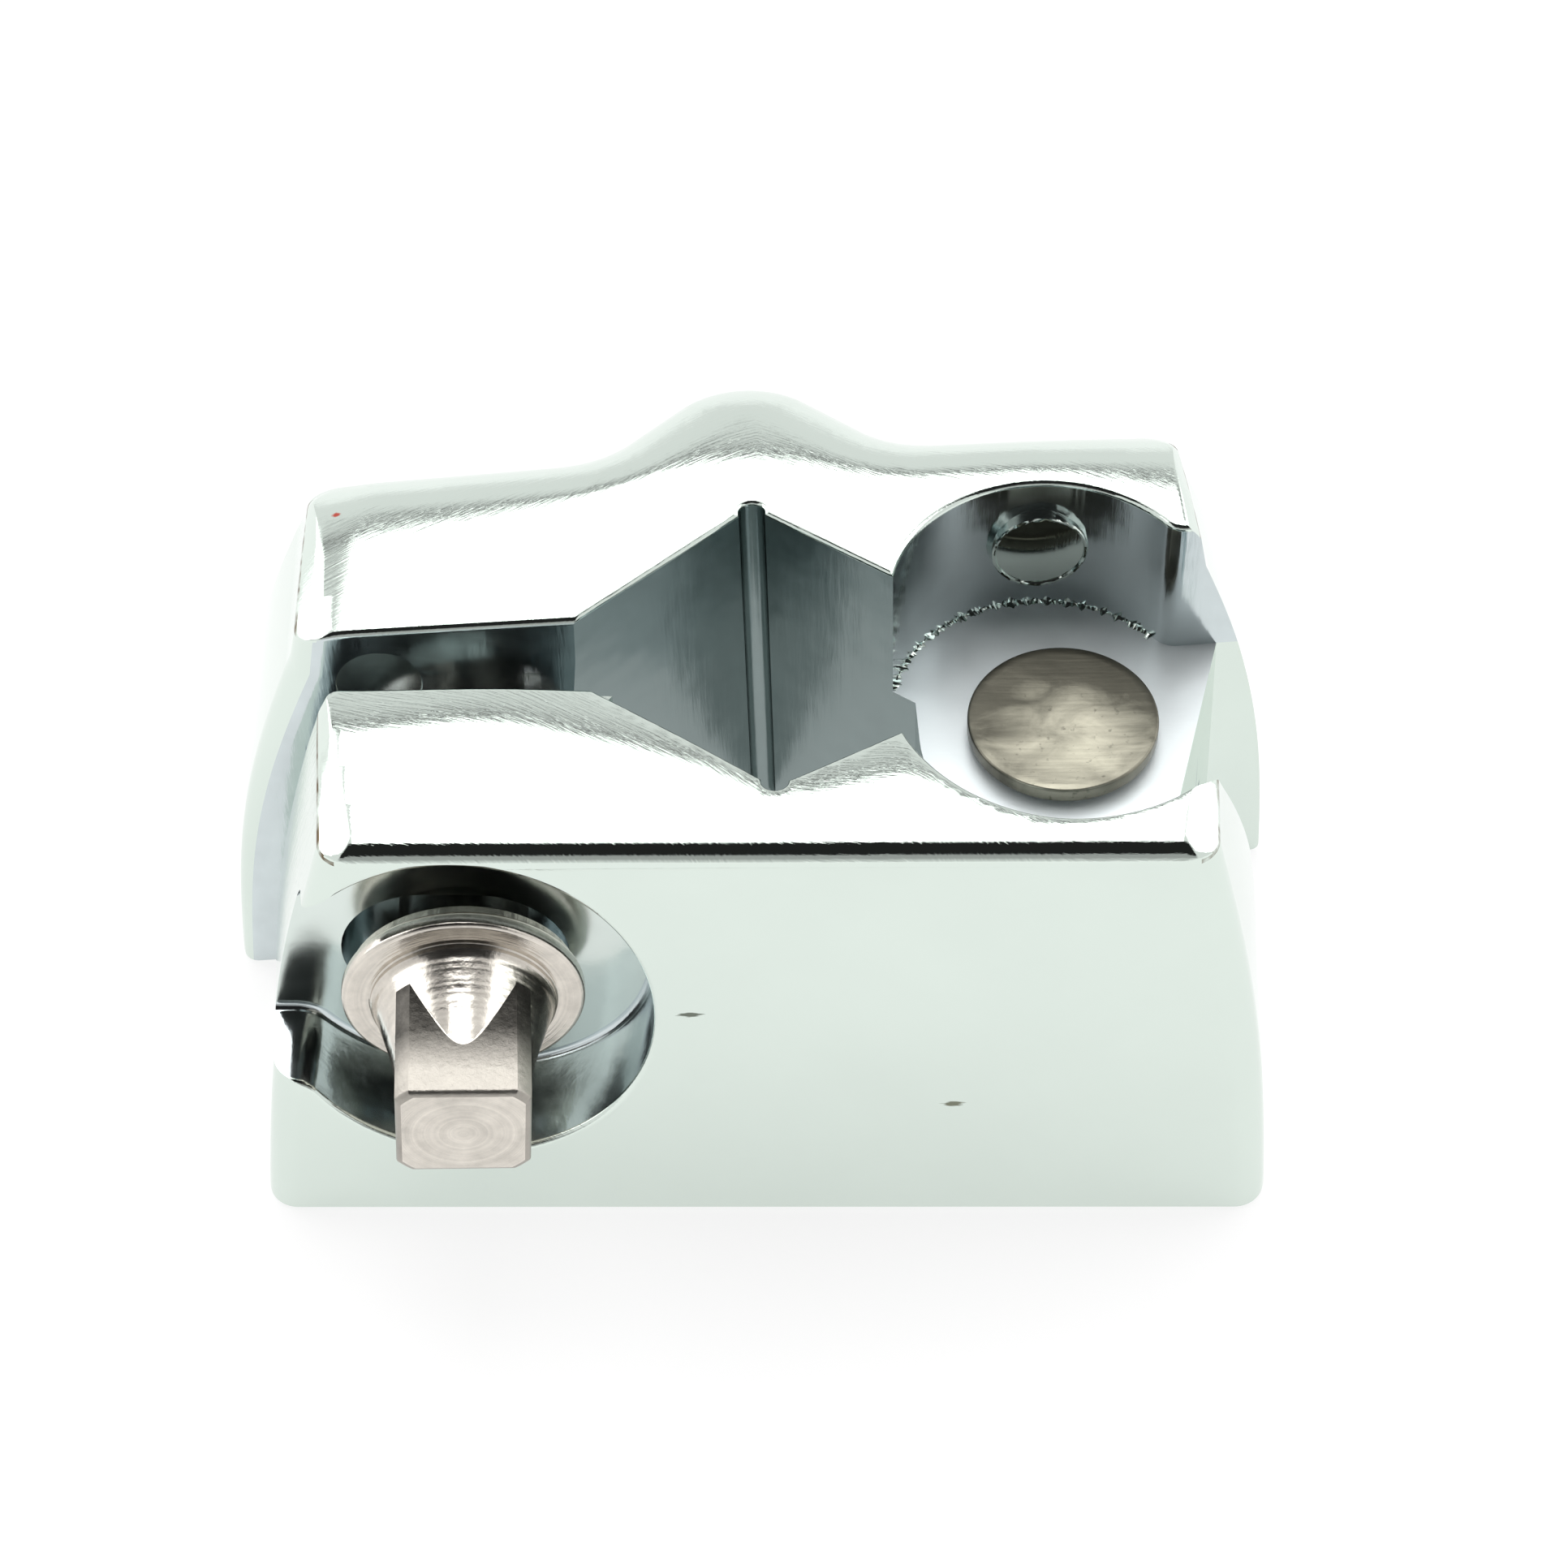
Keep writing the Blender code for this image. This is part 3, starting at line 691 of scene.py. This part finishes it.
def crown(piece, drop_at, flow_at):
    """Cut the top into a fine grid, bend it by drop_at(x, y), and store the polishing direction."""
    mesh = piece.data
    bm = bmesh.new()
    bm.from_mesh(mesh)
    bmesh.ops.scale(bm, vec=(1 / MM, 1 / MM, 1 / MM), verts=bm.verts[:])
    bmesh.ops.translate(bm, vec=(ORIGIN_X, ORIGIN_Y, 0.0), verts=bm.verts[:])
    step = 0.5
    off_line = 0.013
    for axis, low, high in ((0, -25.0, 25.0), (1, -16.0, 21.0)):
        for i in range(int((high - low) / step) + 1):
            place = low + i * step + off_line
            parts = set()
            for face in bm.faces:
                spread = [v.co[axis] for v in face.verts]
                near_top = all(v.co.z > HEIGHT - TOP_ZONE for v in face.verts)
                if near_top and min(spread) < place < max(spread):
                    parts.add(face)
                    parts.update(face.edges)
                    parts.update(face.verts)
            normal = (1.0, 0.0, 0.0) if axis == 0 else (0.0, 1.0, 0.0)
            spot = (place, 0.0, 0.0) if axis == 0 else (0.0, place, 0.0)
            bmesh.ops.bisect_plane(bm, geom=list(parts), plane_co=spot, plane_no=normal, dist=1e-5)
    flow = bm.verts.layers.float_vector.new("flow")
    depth = 3.0
    for vert in bm.verts:
        x, y, z = vert.co
        vert[flow] = flow_at(x, y)
        share = min(1.0, max(0.0, (z - HEIGHT + depth) / depth))
        if share:
            vert.co.z = z - drop_at(x, y) * share * share * (3.0 - 2.0 * share)
    bmesh.ops.translate(bm, vec=(-ORIGIN_X, -ORIGIN_Y, 0.0), verts=bm.verts[:])
    bmesh.ops.scale(bm, vec=(MM, MM, MM), verts=bm.verts[:])
    bm.to_mesh(mesh)
    bm.free()


def v_outline(left, apex, right, mouth_y):
    """Plan of a V notch with its relief groove, anticlockwise; left and right lie on its walls."""
    lx, ly = left
    rx, ry = right
    ax, ay = apex
    side = 1.0 if ay > ly else -1.0
    left_slope = (ay - ly) / (ax - lx)
    right_slope = (ay - ry) / (ax - rx)
    far_left = lx + (mouth_y - ly) / left_slope
    far_right = rx + (mouth_y - ry) / right_slope
    half = GROOVE_R
    groove_base = ay - side * 0.35
    points = [(far_left, mouth_y), (ax - half, ay - left_slope * half)]
    for x, y in arc(ax, 0.0, half, 180.0, 0.0, 14)[1:-1]:
        points.append((x, groove_base + side * y))
    points += [(ax + half, ay + right_slope * half), (far_right, mouth_y)]
    return points if side < 0 else list(reversed(points))


def lug_outline(radius, root_y):
    """Plan of a hinge lug: round about the pin, with straight sides back to its root."""
    if root_y > PIN_Y:
        round_end = arc(PIN_X, PIN_Y, radius, 180.0, 360.0, 40)
    else:
        round_end = arc(PIN_X, PIN_Y, radius, 0.0, 180.0, 40)
    return round_end + [(round_end[-1][0], root_y), (round_end[0][0], root_y)]


# ---------------------------------------------------------------- front casting
def front_corners(u):
    bulge = FRONT_BULGE * math.sin(math.pi * u)
    left = -FRONT_FLARE_LEFT * u - bulge
    right = FRONT_FLARE_RIGHT * u + bulge
    face_y = FRONT_FACE_Y - FRONT_FACE_LEAN * u
    land_y = FRONT_LAND_Y + FRONT_LAND_LEAN * u
    return [
        (FRONT_LEFT_FACE + left, face_y, FRONT_CORNER_R, 14),
        (FRONT_RIGHT_FACE + right, face_y, FRONT_CORNER_R, 14),
        (FRONT_RIGHT_LAND + right, land_y, FRONT_LAND_CORNER_R, 10),
        (FRONT_LEFT_LAND + left, land_y, FRONT_LAND_CORNER_R, 10),
    ]


# Line on the top, through (x, y) knots, behind which it starts to fall away; then the slope and the run-in
FRONT_CROWN = [(-19.5, -5.6), (-17.3, -5.6), (-11.7, -5.1), (-7.4, -6.1), (-2.8, -7.6), (0.9, -9.4),
               (4.5, -8.8), (6.6, -8.3), (9.3, -9.7), (12.7, -11.0), (16.2, -10.2), (17.9, -9.5),
               (20.0, -8.6)]
FRONT_FALL = (0.20, 0.9)


def front_drop(x, y):
    return rolled_drop(y - smooth_curve(FRONT_CROWN, x), *FRONT_FALL)


def front_flow(x, y):
    return (x, y - smooth_curve(FRONT_CROWN, x) + 0.36 * x, 0.0)


def front_arc_outline():
    cx, cy = FRONT_ARC_CENTRE
    wall = arc(cx, cy, FRONT_ARC_R, 180.0, FRONT_ARC_END, 72)
    a = math.radians(FRONT_ARC_END)
    run = 12.0
    end = (wall[-1][0] - run * math.sin(a), wall[-1][1] + run * math.cos(a))
    return wall + [end, (end[0], 12.0), (wall[0][0], 12.0)]


def recess_outline():
    """Elevation (x, z) of the screw recess: a round pocket whose flared neck breaks out of the end."""
    lip_rise = RECESS_NECK_HALF + RECESS_LIP_R
    lip_run = math.sqrt((RECESS_R + RECESS_LIP_R) ** 2 - lip_rise ** 2)
    lip_angle = math.degrees(math.atan2(lip_rise, lip_run))
    lip_x = SCREW_X - lip_run
    end_x = SCREW_X - 20.0
    wall = arc(SCREW_X, SCREW_Z, RECESS_R, -180.0 + lip_angle, 180.0 - lip_angle, 110)
    upper = arc(lip_x, SCREW_Z + lip_rise, RECESS_LIP_R, -lip_angle, -90.0, 10)
    lower = arc(lip_x, SCREW_Z - lip_rise, RECESS_LIP_R, 90.0, lip_angle, 10)
    return wall + upper[1:] + [(end_x, upper[-1][1]), (end_x, lower[0][1])] + lower[:-1]


def face_y(z):
    return FRONT_FACE_Y - FRONT_FACE_LEAN * (1.0 - z / HEIGHT)


def recess_cutter():
    """The recess with a filleted floor and a rounded rim that follows the leaning face."""
    outline = recess_outline()
    fillet = 0.35
    rim = 0.22
    steps = 4
    rings = []
    slots = [SATIN]
    for k in range(steps + 1):
        a = math.radians(90.0 * k / steps)
        loop = offset_loop(outline, fillet * (1.0 - math.sin(a)))
        y = RECESS_FLOOR_Y - fillet * (1.0 - math.cos(a))
        rings.append([(x, y, z) for x, z in loop])
        slots.append(CAST)
    for k in range(steps + 1):
        a = math.radians(90.0 * k / steps)
        loop = offset_loop(outline, -rim * (1.0 - math.cos(a))) if k else outline
        rings.append([(x, face_y(z) + rim * (1.0 - math.sin(a)), z) for x, z in loop])
        slots.append(POLISHED)
    rings.append([(x, face_y(z) - 3.0, z) for x, z in offset_loop(outline, -rim)])
    slots.append(POLISHED)
    return skin(rings, slots)


def slot_cutter():
    run = SLOT_HALF_X - SLOT_R
    right = arc(SLOT_X + run, SCREW_Z, SLOT_R, -90.0, 90.0, 24)
    left = arc(SLOT_X - run, SCREW_Z, SLOT_R, 90.0, 270.0, 24)
    return skin([[(x, y, z) for x, z in right + left] for y in (FRONT_FACE_Y - 8.0, 1.0)], [CAST] * 3)


def front_casting(materials):
    slant = (0.0, FACET_DROP, facet)
    rolls = [(*FRONT_TOP_ROLL, quarter), slant, (*FRONT_LAND_ROLL, quarter), slant]
    jaw = make_piece("front_casting", jaw_shell(front_corners, rolls, FRONT_FACETS), materials)
    dull_land(jaw, 1.0, FRONT_LAND_Y + FRONT_LAND_LEAN - 0.3)
    paint_facet_edge_line(jaw)
    lug_top = LUG_SPLIT_Z - LUG_GAP / 2.0
    notch = v_outline(FRONT_V_LEFT, FRONT_V_APEX, FRONT_V_RIGHT, 1.0)
    boolean(jaw, flared_prism(notch, -2.0, HEIGHT, FRONT_V_LIP, DRAWN))
    boolean(jaw, flared_prism(front_arc_outline(), lug_top, HEIGHT, FRONT_ARC_LIP))
    boolean(jaw, prism(lug_outline(LUG_R, FRONT_LAND_Y - 2.5), LUG_FOOT_Z, lug_top), "UNION")
    boolean(jaw, round_bar(PIN_X, PIN_Y, PIN_R + 0.05, -1.0, HEIGHT))
    boolean(jaw, recess_cutter())
    boolean(jaw, slot_cutter())
    boolean(jaw, prism(V_SPUR, HEIGHT - 0.95, HEIGHT - 0.5, POLISHED), "UNION")
    crown(jaw, front_drop, front_flow)
    finish_normals(jaw)
    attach(jaw, "front")
    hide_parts("front_jaw")
    return jaw


# ---------------------------------------------------------------- rear casting
def rear_corners(u):
    bulge = REAR_BULGE * math.sin(math.pi * u)
    left = -REAR_TOP_LEFT - REAR_FLARE_LEFT * u - bulge
    right = REAR_TOP_RIGHT + REAR_FLARE_RIGHT * u + bulge
    land = REAR_LAND_Y - REAR_LAND_LEAN * u
    back = REAR_BACK_Y + REAR_BACK_LEAN * u
    return [
        (left, land, 1.6 - 0.8 * u, 12),
        (right, land, 1.2, 12),
        (right - 0.4, back - 0.3, REAR_BACK_CORNER_R, 12),
        (BULGE_HALF, back, BULGE_ROOT_R, 16),
        (0.0, back + BULGE_OUT, BULGE_TIP_R, 24),
        (-BULGE_HALF, back, BULGE_ROOT_R, 16),
        (left + 0.4, back - 0.3, REAR_BACK_CORNER_R, 12),
    ]


REAR_CROWN = [(-20.0, 8.2), (-17.8, 8.5), (-8.9, 10.0), (-4.0, 11.6), (-0.6, 12.2), (2.2, 11.8),
              (6.0, 10.5), (9.5, 10.3), (13.5, 10.2), (17.0, 9.4), (20.0, 8.4)]
REAR_FALL = (0.17, 1.2)
REAR_END_FALL = (0.14, 0.5)


def rear_drop(x, y):
    back = rolled_drop(y - smooth_curve(REAR_CROWN, x), *REAR_FALL)
    left = rolled_drop(-18.2 - x + 0.10 * (y - 4.0), *REAR_END_FALL)
    return back + left


def rear_flow(x, y):
    return (x, y - smooth_curve(REAR_CROWN, x) + 0.40 * abs(x - 0.5), 0.0)


def pocket_outline():
    """Plan of the head pocket: an arc whose flared lip opens through the right end."""
    cx, cy = REAR_POCKET_CENTRE
    wall = arc(cx, cy, REAR_POCKET_R, POCKET_START, POCKET_END, 80)
    a = math.radians(POCKET_END)
    bend_x = cx + (REAR_POCKET_R + POCKET_BEND_R) * math.cos(a)
    bend_y = cy + (REAR_POCKET_R + POCKET_BEND_R) * math.sin(a)
    lip = arc(bend_x, bend_y, POCKET_BEND_R, 180.0 + POCKET_END, 276.0, 10)
    front_y = REAR_LAND_Y - 14.0
    outline = wall + lip[1:] + [(OUTSIDE, lip[-1][1] + 0.4), (OUTSIDE, front_y), (wall[0][0], front_y)]
    return list(reversed(outline))


def rear_end_cut():
    """The corner taken off the hinged end, beside the lug; its back wall leans forward to the foot."""
    outer, inner = REAR_LUG_SIDE
    rings = []
    for z in (-2.0, SHELF_Z + 0.01):
        share = z / SHELF_Z
        wall_y = REAR_END_FOOT_Y + (outer[1] - REAR_END_FOOT_Y) * share
        plan = [(inner[0], -12.0), (OUTSIDE, -12.0), (OUTSIDE, wall_y), (outer[0], wall_y), inner]
        rings.append([(x, y, z) for x, y in plan])
    return skin(rings, [POLISHED] * 3)


def rear_casting(materials):
    wide = (*REAR_BACK_ROLL, quarter)
    slant = (0.0, FACET_DROP, facet)
    rolls = [(*REAR_LAND_ROLL, quarter), slant, wide, wide, wide, wide, slant]
    jaw = make_piece("rear_casting", jaw_shell(rear_corners, rolls, REAR_FACETS), materials)
    dull_land(jaw, -1.0, REAR_LAND_Y + 0.3)
    paint_facet_edge_line(jaw)
    lug_foot = LUG_SPLIT_Z + LUG_GAP / 2.0
    ax = REAR_V_APEX[0]
    left = (ax - REAR_V_HALF, REAR_LAND_Y)
    right = (ax + REAR_V_HALF, REAR_LAND_Y)
    notch = v_outline(left, REAR_V_APEX, right, -1.0)
    boolean(jaw, flared_prism(notch, -2.0, HEIGHT, REAR_V_LIP, DRAWN))
    boolean(jaw, prism(lug_outline(LUG_R, REAR_LAND_Y + 3.0), lug_foot, SHELF_Z + 1.0), "UNION")
    boolean(jaw, flared_prism(pocket_outline(), SHELF_Z, HEIGHT, POCKET_LIP))
    boolean(jaw, rear_end_cut())
    boolean(jaw, pocket_mark(), "UNION")
    boolean(jaw, land_mark())
    boolean(jaw, prism(lug_outline(LUG_POCKET_R, REAR_LAND_Y - 9.0), -2.0, lug_foot))
    boolean(jaw, round_bar(PIN_X, PIN_Y, PIN_R + 0.05, -1.0, HEIGHT))
    bore = lathe_y([(SHANK_R + 0.05, -3.0), (SHANK_R + 0.05, 45.0)], 64)
    pin = Vector((PIN_X, PIN_Y, 0.0))
    swing = Matrix.Rotation(math.radians(-REAR_YAW), 4, "Z")
    place = swing @ (Vector((SCREW_X, SCREW_Y, SCREW_Z)) - pin) + pin
    bmesh.ops.translate(bore, vec=place, verts=bore.verts[:])
    boolean(jaw, bore)
    crown(jaw, rear_drop, rear_flow)
    turn_with_rear(jaw)
    finish_normals(jaw)
    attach(jaw, "rear")
    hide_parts("rear_jaw")
    return jaw


def pocket_mark():
    """Flat end mark of an ejector with the ring of flash around it, on the pocket's curved wall."""
    x, z, radius = POCKET_MARK
    y = POCKET_MARK_Y
    profile = [(radius, y + 1.2), (radius, y - 0.03), (radius - 0.06, y - 0.08), (radius - 0.15, y - 0.06),
               (radius - 0.20, y), (0.05, y)]
    mark = lathe_y(profile, 72)
    random.seed(4)
    for vert in mark.verts:
        if vert.co.y < y - 0.02:
            vert.co.y -= random.uniform(0.0, 0.07)
    bmesh.ops.translate(mark, vec=(x, 0.0, z), verts=mark.verts[:])
    return mark


def land_mark():
    """Shallow round recess in the land, square to the leaning face."""
    x, z, radius = LAND_MARK
    mark = lathe_y([(radius, -1.0), (radius, 0.06), (radius - 0.05, 0.09)], 72)
    for face in mark.faces:
        face.material_index = SATIN
    lean = math.atan(REAR_LAND_LEAN / HEIGHT)
    bmesh.ops.rotate(mark, cent=(0.0, 0.0, 0.0), matrix=Matrix.Rotation(-lean, 3, "X"), verts=mark.verts[:])
    y = REAR_LAND_Y - REAR_LAND_LEAN * (1.0 - z / HEIGHT)
    bmesh.ops.translate(mark, vec=(x, y, z), verts=mark.verts[:])
    return mark


def shelf_flash(materials):
    """Ragged flash where the pocket's wall meets the shelf."""
    cx, cy = REAR_POCKET_CENTRE
    random.seed(11)
    rings = []
    steps = 150
    for i in range(steps + 1):
        a = math.radians(FLASH_START - FLASH_SWEEP * i / steps)
        height = random.uniform(*FLASH_HEIGHT) ** 1.3
        inner = REAR_POCKET_R - random.uniform(*FLASH_WIDTH) * (0.5 + 0.5 * math.sin(i * 0.37) ** 2)
        outer = REAR_POCKET_R + 0.15
        crest = REAR_POCKET_R - 0.03
        section = ((outer, -0.10), (outer, height), (crest, height), (inner, 0.02), (inner, -0.10))
        rings.append([(cx + r * math.cos(a), cy + r * math.sin(a), SHELF_Z + z) for r, z in section])
    flash = make_piece("shelf_flash", skin(rings), materials)
    turn_with_rear(flash)
    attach(flash, "rear")
    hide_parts("rear_jaw")


def turn_with_rear(piece):
    """Swing a mesh drawn with the closed rear jaw to where the jaw stands at rest."""
    pin = Vector(((PIN_X - ORIGIN_X) * MM, (PIN_Y - ORIGIN_Y) * MM, 0.0))
    swing = Matrix.Rotation(math.radians(REAR_YAW), 4, "Z")
    piece.data.transform(Matrix.Translation(pin) @ swing @ Matrix.Translation(-pin))


# ---------------------------------------------------------------- pin
def pin_piece(material):
    top = SHELF_Z + TOUCH_GAP
    edge = 0.12
    bevel = 0.3
    profile = [(PIN_R - bevel, PIN_FOOT_Z), (PIN_R, PIN_FOOT_Z + bevel), (PIN_R, top)]
    for k in range(5):
        a = math.radians(-90.0 + 90.0 * k / 4)
        profile.append((PIN_HEAD_R - edge + edge * math.cos(a), top + edge + edge * math.sin(a)))
    rim = top + PIN_HEAD_T
    for k in range(5):
        a = math.radians(90.0 * k / 4)
        profile.append((PIN_HEAD_R - edge + edge * math.cos(a), rim - edge + edge * math.sin(a)))
    for k in range(1, 12):
        share = 1.0 - k / 12
        profile.append(((PIN_HEAD_R - edge) * share, rim - PIN_DISH * (1.0 - share * share)))
    rings = [[(x, y, z) for x, y in arc(0.0, 0.0, radius, 0.0, 360.0, 128)[:-1]] for radius, z in profile]
    pin = make_piece("pin_steel_head", skin(rings), [material], (0.0, 0.0, 0.0))
    pin.location = ((PIN_X - ORIGIN_X) * MM, (PIN_Y - ORIGIN_Y) * MM, 0.0)
    finish_normals(pin)
    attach(pin, "front")
    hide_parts("hinge_pin")


# ---------------------------------------------------------------- screw
def screw_piece(materials):
    base = -BOSS_T
    profile = [(SHANK_R - 0.5, SHANK_END), (SHANK_R, SHANK_END - 0.5), (SHANK_R, FLANGE_T)]
    edge = 0.22
    for k in range(5):
        a = math.radians(90.0 - 90.0 * k / 4)
        profile.append((FLANGE_R - edge + edge * math.cos(a), FLANGE_T - edge + edge * math.sin(a)))
    for k in range(5):
        a = math.radians(-90.0 * k / 4)
        profile.append((FLANGE_R - edge + edge * math.cos(a), edge + edge * math.sin(a)))
    profile += [(BOSS_R + 0.06, 0.0), (BOSS_R, -0.06), (BOSS_R, base + 0.10), (BOSS_R - 0.10, base)]
    steps = 20
    for i in range(1, steps + 1):
        share = i / steps
        hollow = CONE_HOLLOW * math.sin(math.pi * share)
        radius = BOSS_R - 0.10 + (CONE_TIP_R - BOSS_R + 0.10) * share - hollow
        profile.append((radius, base + (CONE_END - base) * share))
    screw = make_piece("turned_screw", lathe_y(profile, 128), materials, (0.0, 0.0, 0.0))
    half = HEAD_FLAT / 2.0
    reach = math.sqrt(HEAD_CORNER_R ** 2 - half ** 2)
    low = math.degrees(math.atan2(reach, half))
    outline = []
    for quarter_turn in range(4):
        turn = quarter_turn * 90.0 + HEAD_TURN
        outline += arc(0.0, 0.0, HEAD_CORNER_R, turn + low, turn + 90.0 - low, 10)
    rings = []
    slots = [MILLED]
    sections = [(-0.2, 1.0)]
    sections += [(-HEAD_OUT + back, size) for back, size in HEAD_CHAMFER]
    for y, size in sections:
        rings.append([(x * size, y, z * size) for x, z in outline])
        slots.append(MILLED)
    slots[-1] = TURNED
    slots[-2] = TURNED
    boolean(screw, skin(rings, slots), "UNION", (0.0, 0.0, 0.0))
    screw.location = ((SCREW_X - ORIGIN_X) * MM, (SCREW_Y - ORIGIN_Y) * MM, SCREW_Z * MM)
    screw.rotation_euler = (0.0, 0.0, math.radians(REAR_YAW))
    finish_normals(screw, 30.0)
    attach(screw, "screw")
    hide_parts("clamp_screw")


# ---------------------------------------------------------------- studio
def camera():
    """Camera at the photograph's viewing angle."""
    data = bpy.data.cameras.new("photo_camera")
    data.lens = CAMERA_LENS
    data.sensor_width = CAMERA_SENSOR
    data.clip_start = 0.01
    data.clip_end = 10.0
    eye = bpy.data.objects.new("photo_camera", data)
    bpy.context.scene.collection.objects.link(eye)
    azimuth = math.radians(CAMERA_AZIMUTH)
    elevation = math.radians(CAMERA_ELEVATION)
    back = Vector((-math.sin(azimuth) * math.cos(elevation), -math.cos(azimuth) * math.cos(elevation),
                   math.sin(elevation)))
    eye.location = Vector(CAMERA_TARGET) + back * CAMERA_DISTANCE
    turn = (-back).to_track_quat("-Z", "Y").to_matrix() @ Matrix.Rotation(math.radians(CAMERA_ROLL), 3, "Z")
    eye.rotation_mode = "QUATERNION"
    eye.rotation_quaternion = turn.to_quaternion()
    bpy.context.scene.camera = eye


def table():
    mesh = bpy.data.meshes.new("table_top")
    reach = 3.0
    mesh.from_pydata([(-reach, -reach, 0), (reach, -reach, 0), (reach, reach, 0), (-reach, reach, 0)], [],
                     [(0, 1, 2, 3)])
    top = bpy.data.objects.new("table_top", mesh)
    bpy.context.scene.collection.objects.link(top)
    mesh.materials.append(table_material())


def card(tree, way, azimuth, elevation, half_width, half_height, soft):
    """Mask of a square card in the sky: azimuth 0 is behind the clamp, 90 to its right; sizes in degrees."""
    a = math.radians(azimuth)
    e = math.radians(elevation)
    ahead = Vector((math.sin(a) * math.cos(e), math.cos(a) * math.cos(e), math.sin(e)))
    right = Vector((math.cos(a), -math.sin(a), 0.0))
    up = right.cross(ahead)
    depth = vector_node(tree, "DOT_PRODUCT", way, ahead, "Value")
    mask = math_node(tree, "GREATER_THAN", depth, 0.0)
    for axis, half in ((right, half_width), (up, half_height)):
        side = vector_node(tree, "DOT_PRODUCT", way, axis, "Value")
        place = math_node(tree, "ABSOLUTE", math_node(tree, "DIVIDE", side, depth))
        edge = math.tan(math.radians(half))
        span = {"Value": place, "From Min": edge + soft, "From Max": edge, "To Min": 0.0, "To Max": 1.0}
        fade = add_node(tree, "ShaderNodeMapRange", span, interpolation_type="SMOOTHSTEP").outputs["Result"]
        mask = math_node(tree, "MULTIPLY", mask, fade)
    return mask


# Cards: azimuth, elevation, half width and half height in degrees, soft edge, power added to the room's level
ROOM_LEVEL = 0.92
DARKEST = 0.02
STUDIO_CARDS = (
    (0.0, 62.5, 15.0, 23.0, 0.015, 2.4),
    (-62.0, 27.0, 24.0, 22.0, 0.08, 1.7),
    (62.0, 27.0, 24.0, 22.0, 0.08, 1.7),
    (180.0, 62.0, 40.0, 30.0, 0.05, -0.90),
    (180.0, 22.0, 34.0, 8.0, 0.32, -0.50),
    (0.0, 36.0, 40.0, 3.5, 0.015, -0.70),
    (0.0, 29.5, 40.0, 0.9, 0.015, -0.20),
)


def studio_world():
    """Pale room with softboxes behind and at both sides, dark strips behind and dark panels in front."""
    world = bpy.data.worlds.new("studio")
    bpy.context.scene.world = world
    world.use_nodes = True
    tree = world.node_tree
    backdrop = tree.nodes["Background"]
    way = add_node(tree, "ShaderNodeTexCoord").outputs["Generated"]
    level = ROOM_LEVEL
    for azimuth, elevation, width, height, soft, power in STUDIO_CARDS:
        mask = card(tree, way, azimuth, elevation, width, height, soft)
        level = math_node(tree, "MULTIPLY_ADD", mask, power, level)
    level = math_node(tree, "MAXIMUM", level, DARKEST)
    tree.links.new(level, backdrop.inputs["Color"])
    backdrop.inputs["Strength"].default_value = 1.0


def main():
    """Build everything."""
    camera()
    table()
    studio_world()
    dull = cast_chrome("cast_chrome", CAST_TINT, 0.10, 0.20)
    # The V walls' material: rougher as-cast plating, its tint darkened as painted shade of the V's shadowed
    # inside
    drawn = cast_chrome("drawn_chrome_painted_shade", DRAWN_TINT_PAINTED_SHADE, 0.16, 0.26)
    satin = satin_chrome("satin_chrome", SATIN_TINT, 1.0, 0.12, 0.24)
    frosted = satin_chrome("frosted_chrome", FROSTED_TINT, 0.4, 0.36, 0.52)
    jaw_materials = [polished_chrome(), dull, painted_edge_line(), satin, drawn, frosted]
    front_casting(jaw_materials)
    rear_casting(jaw_materials)
    shelf_flash(jaw_materials)
    pin_piece(pin_steel())
    turned = screw_steel("turned_screw_steel", 0.15, 0.25, 0.000012)
    screw_piece([turned, milled_steel()])
    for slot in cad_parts["screw_washer"].material_slots:
        slot.material = turned
    bpy.context.scene.view_settings.view_transform = "Standard"


main()
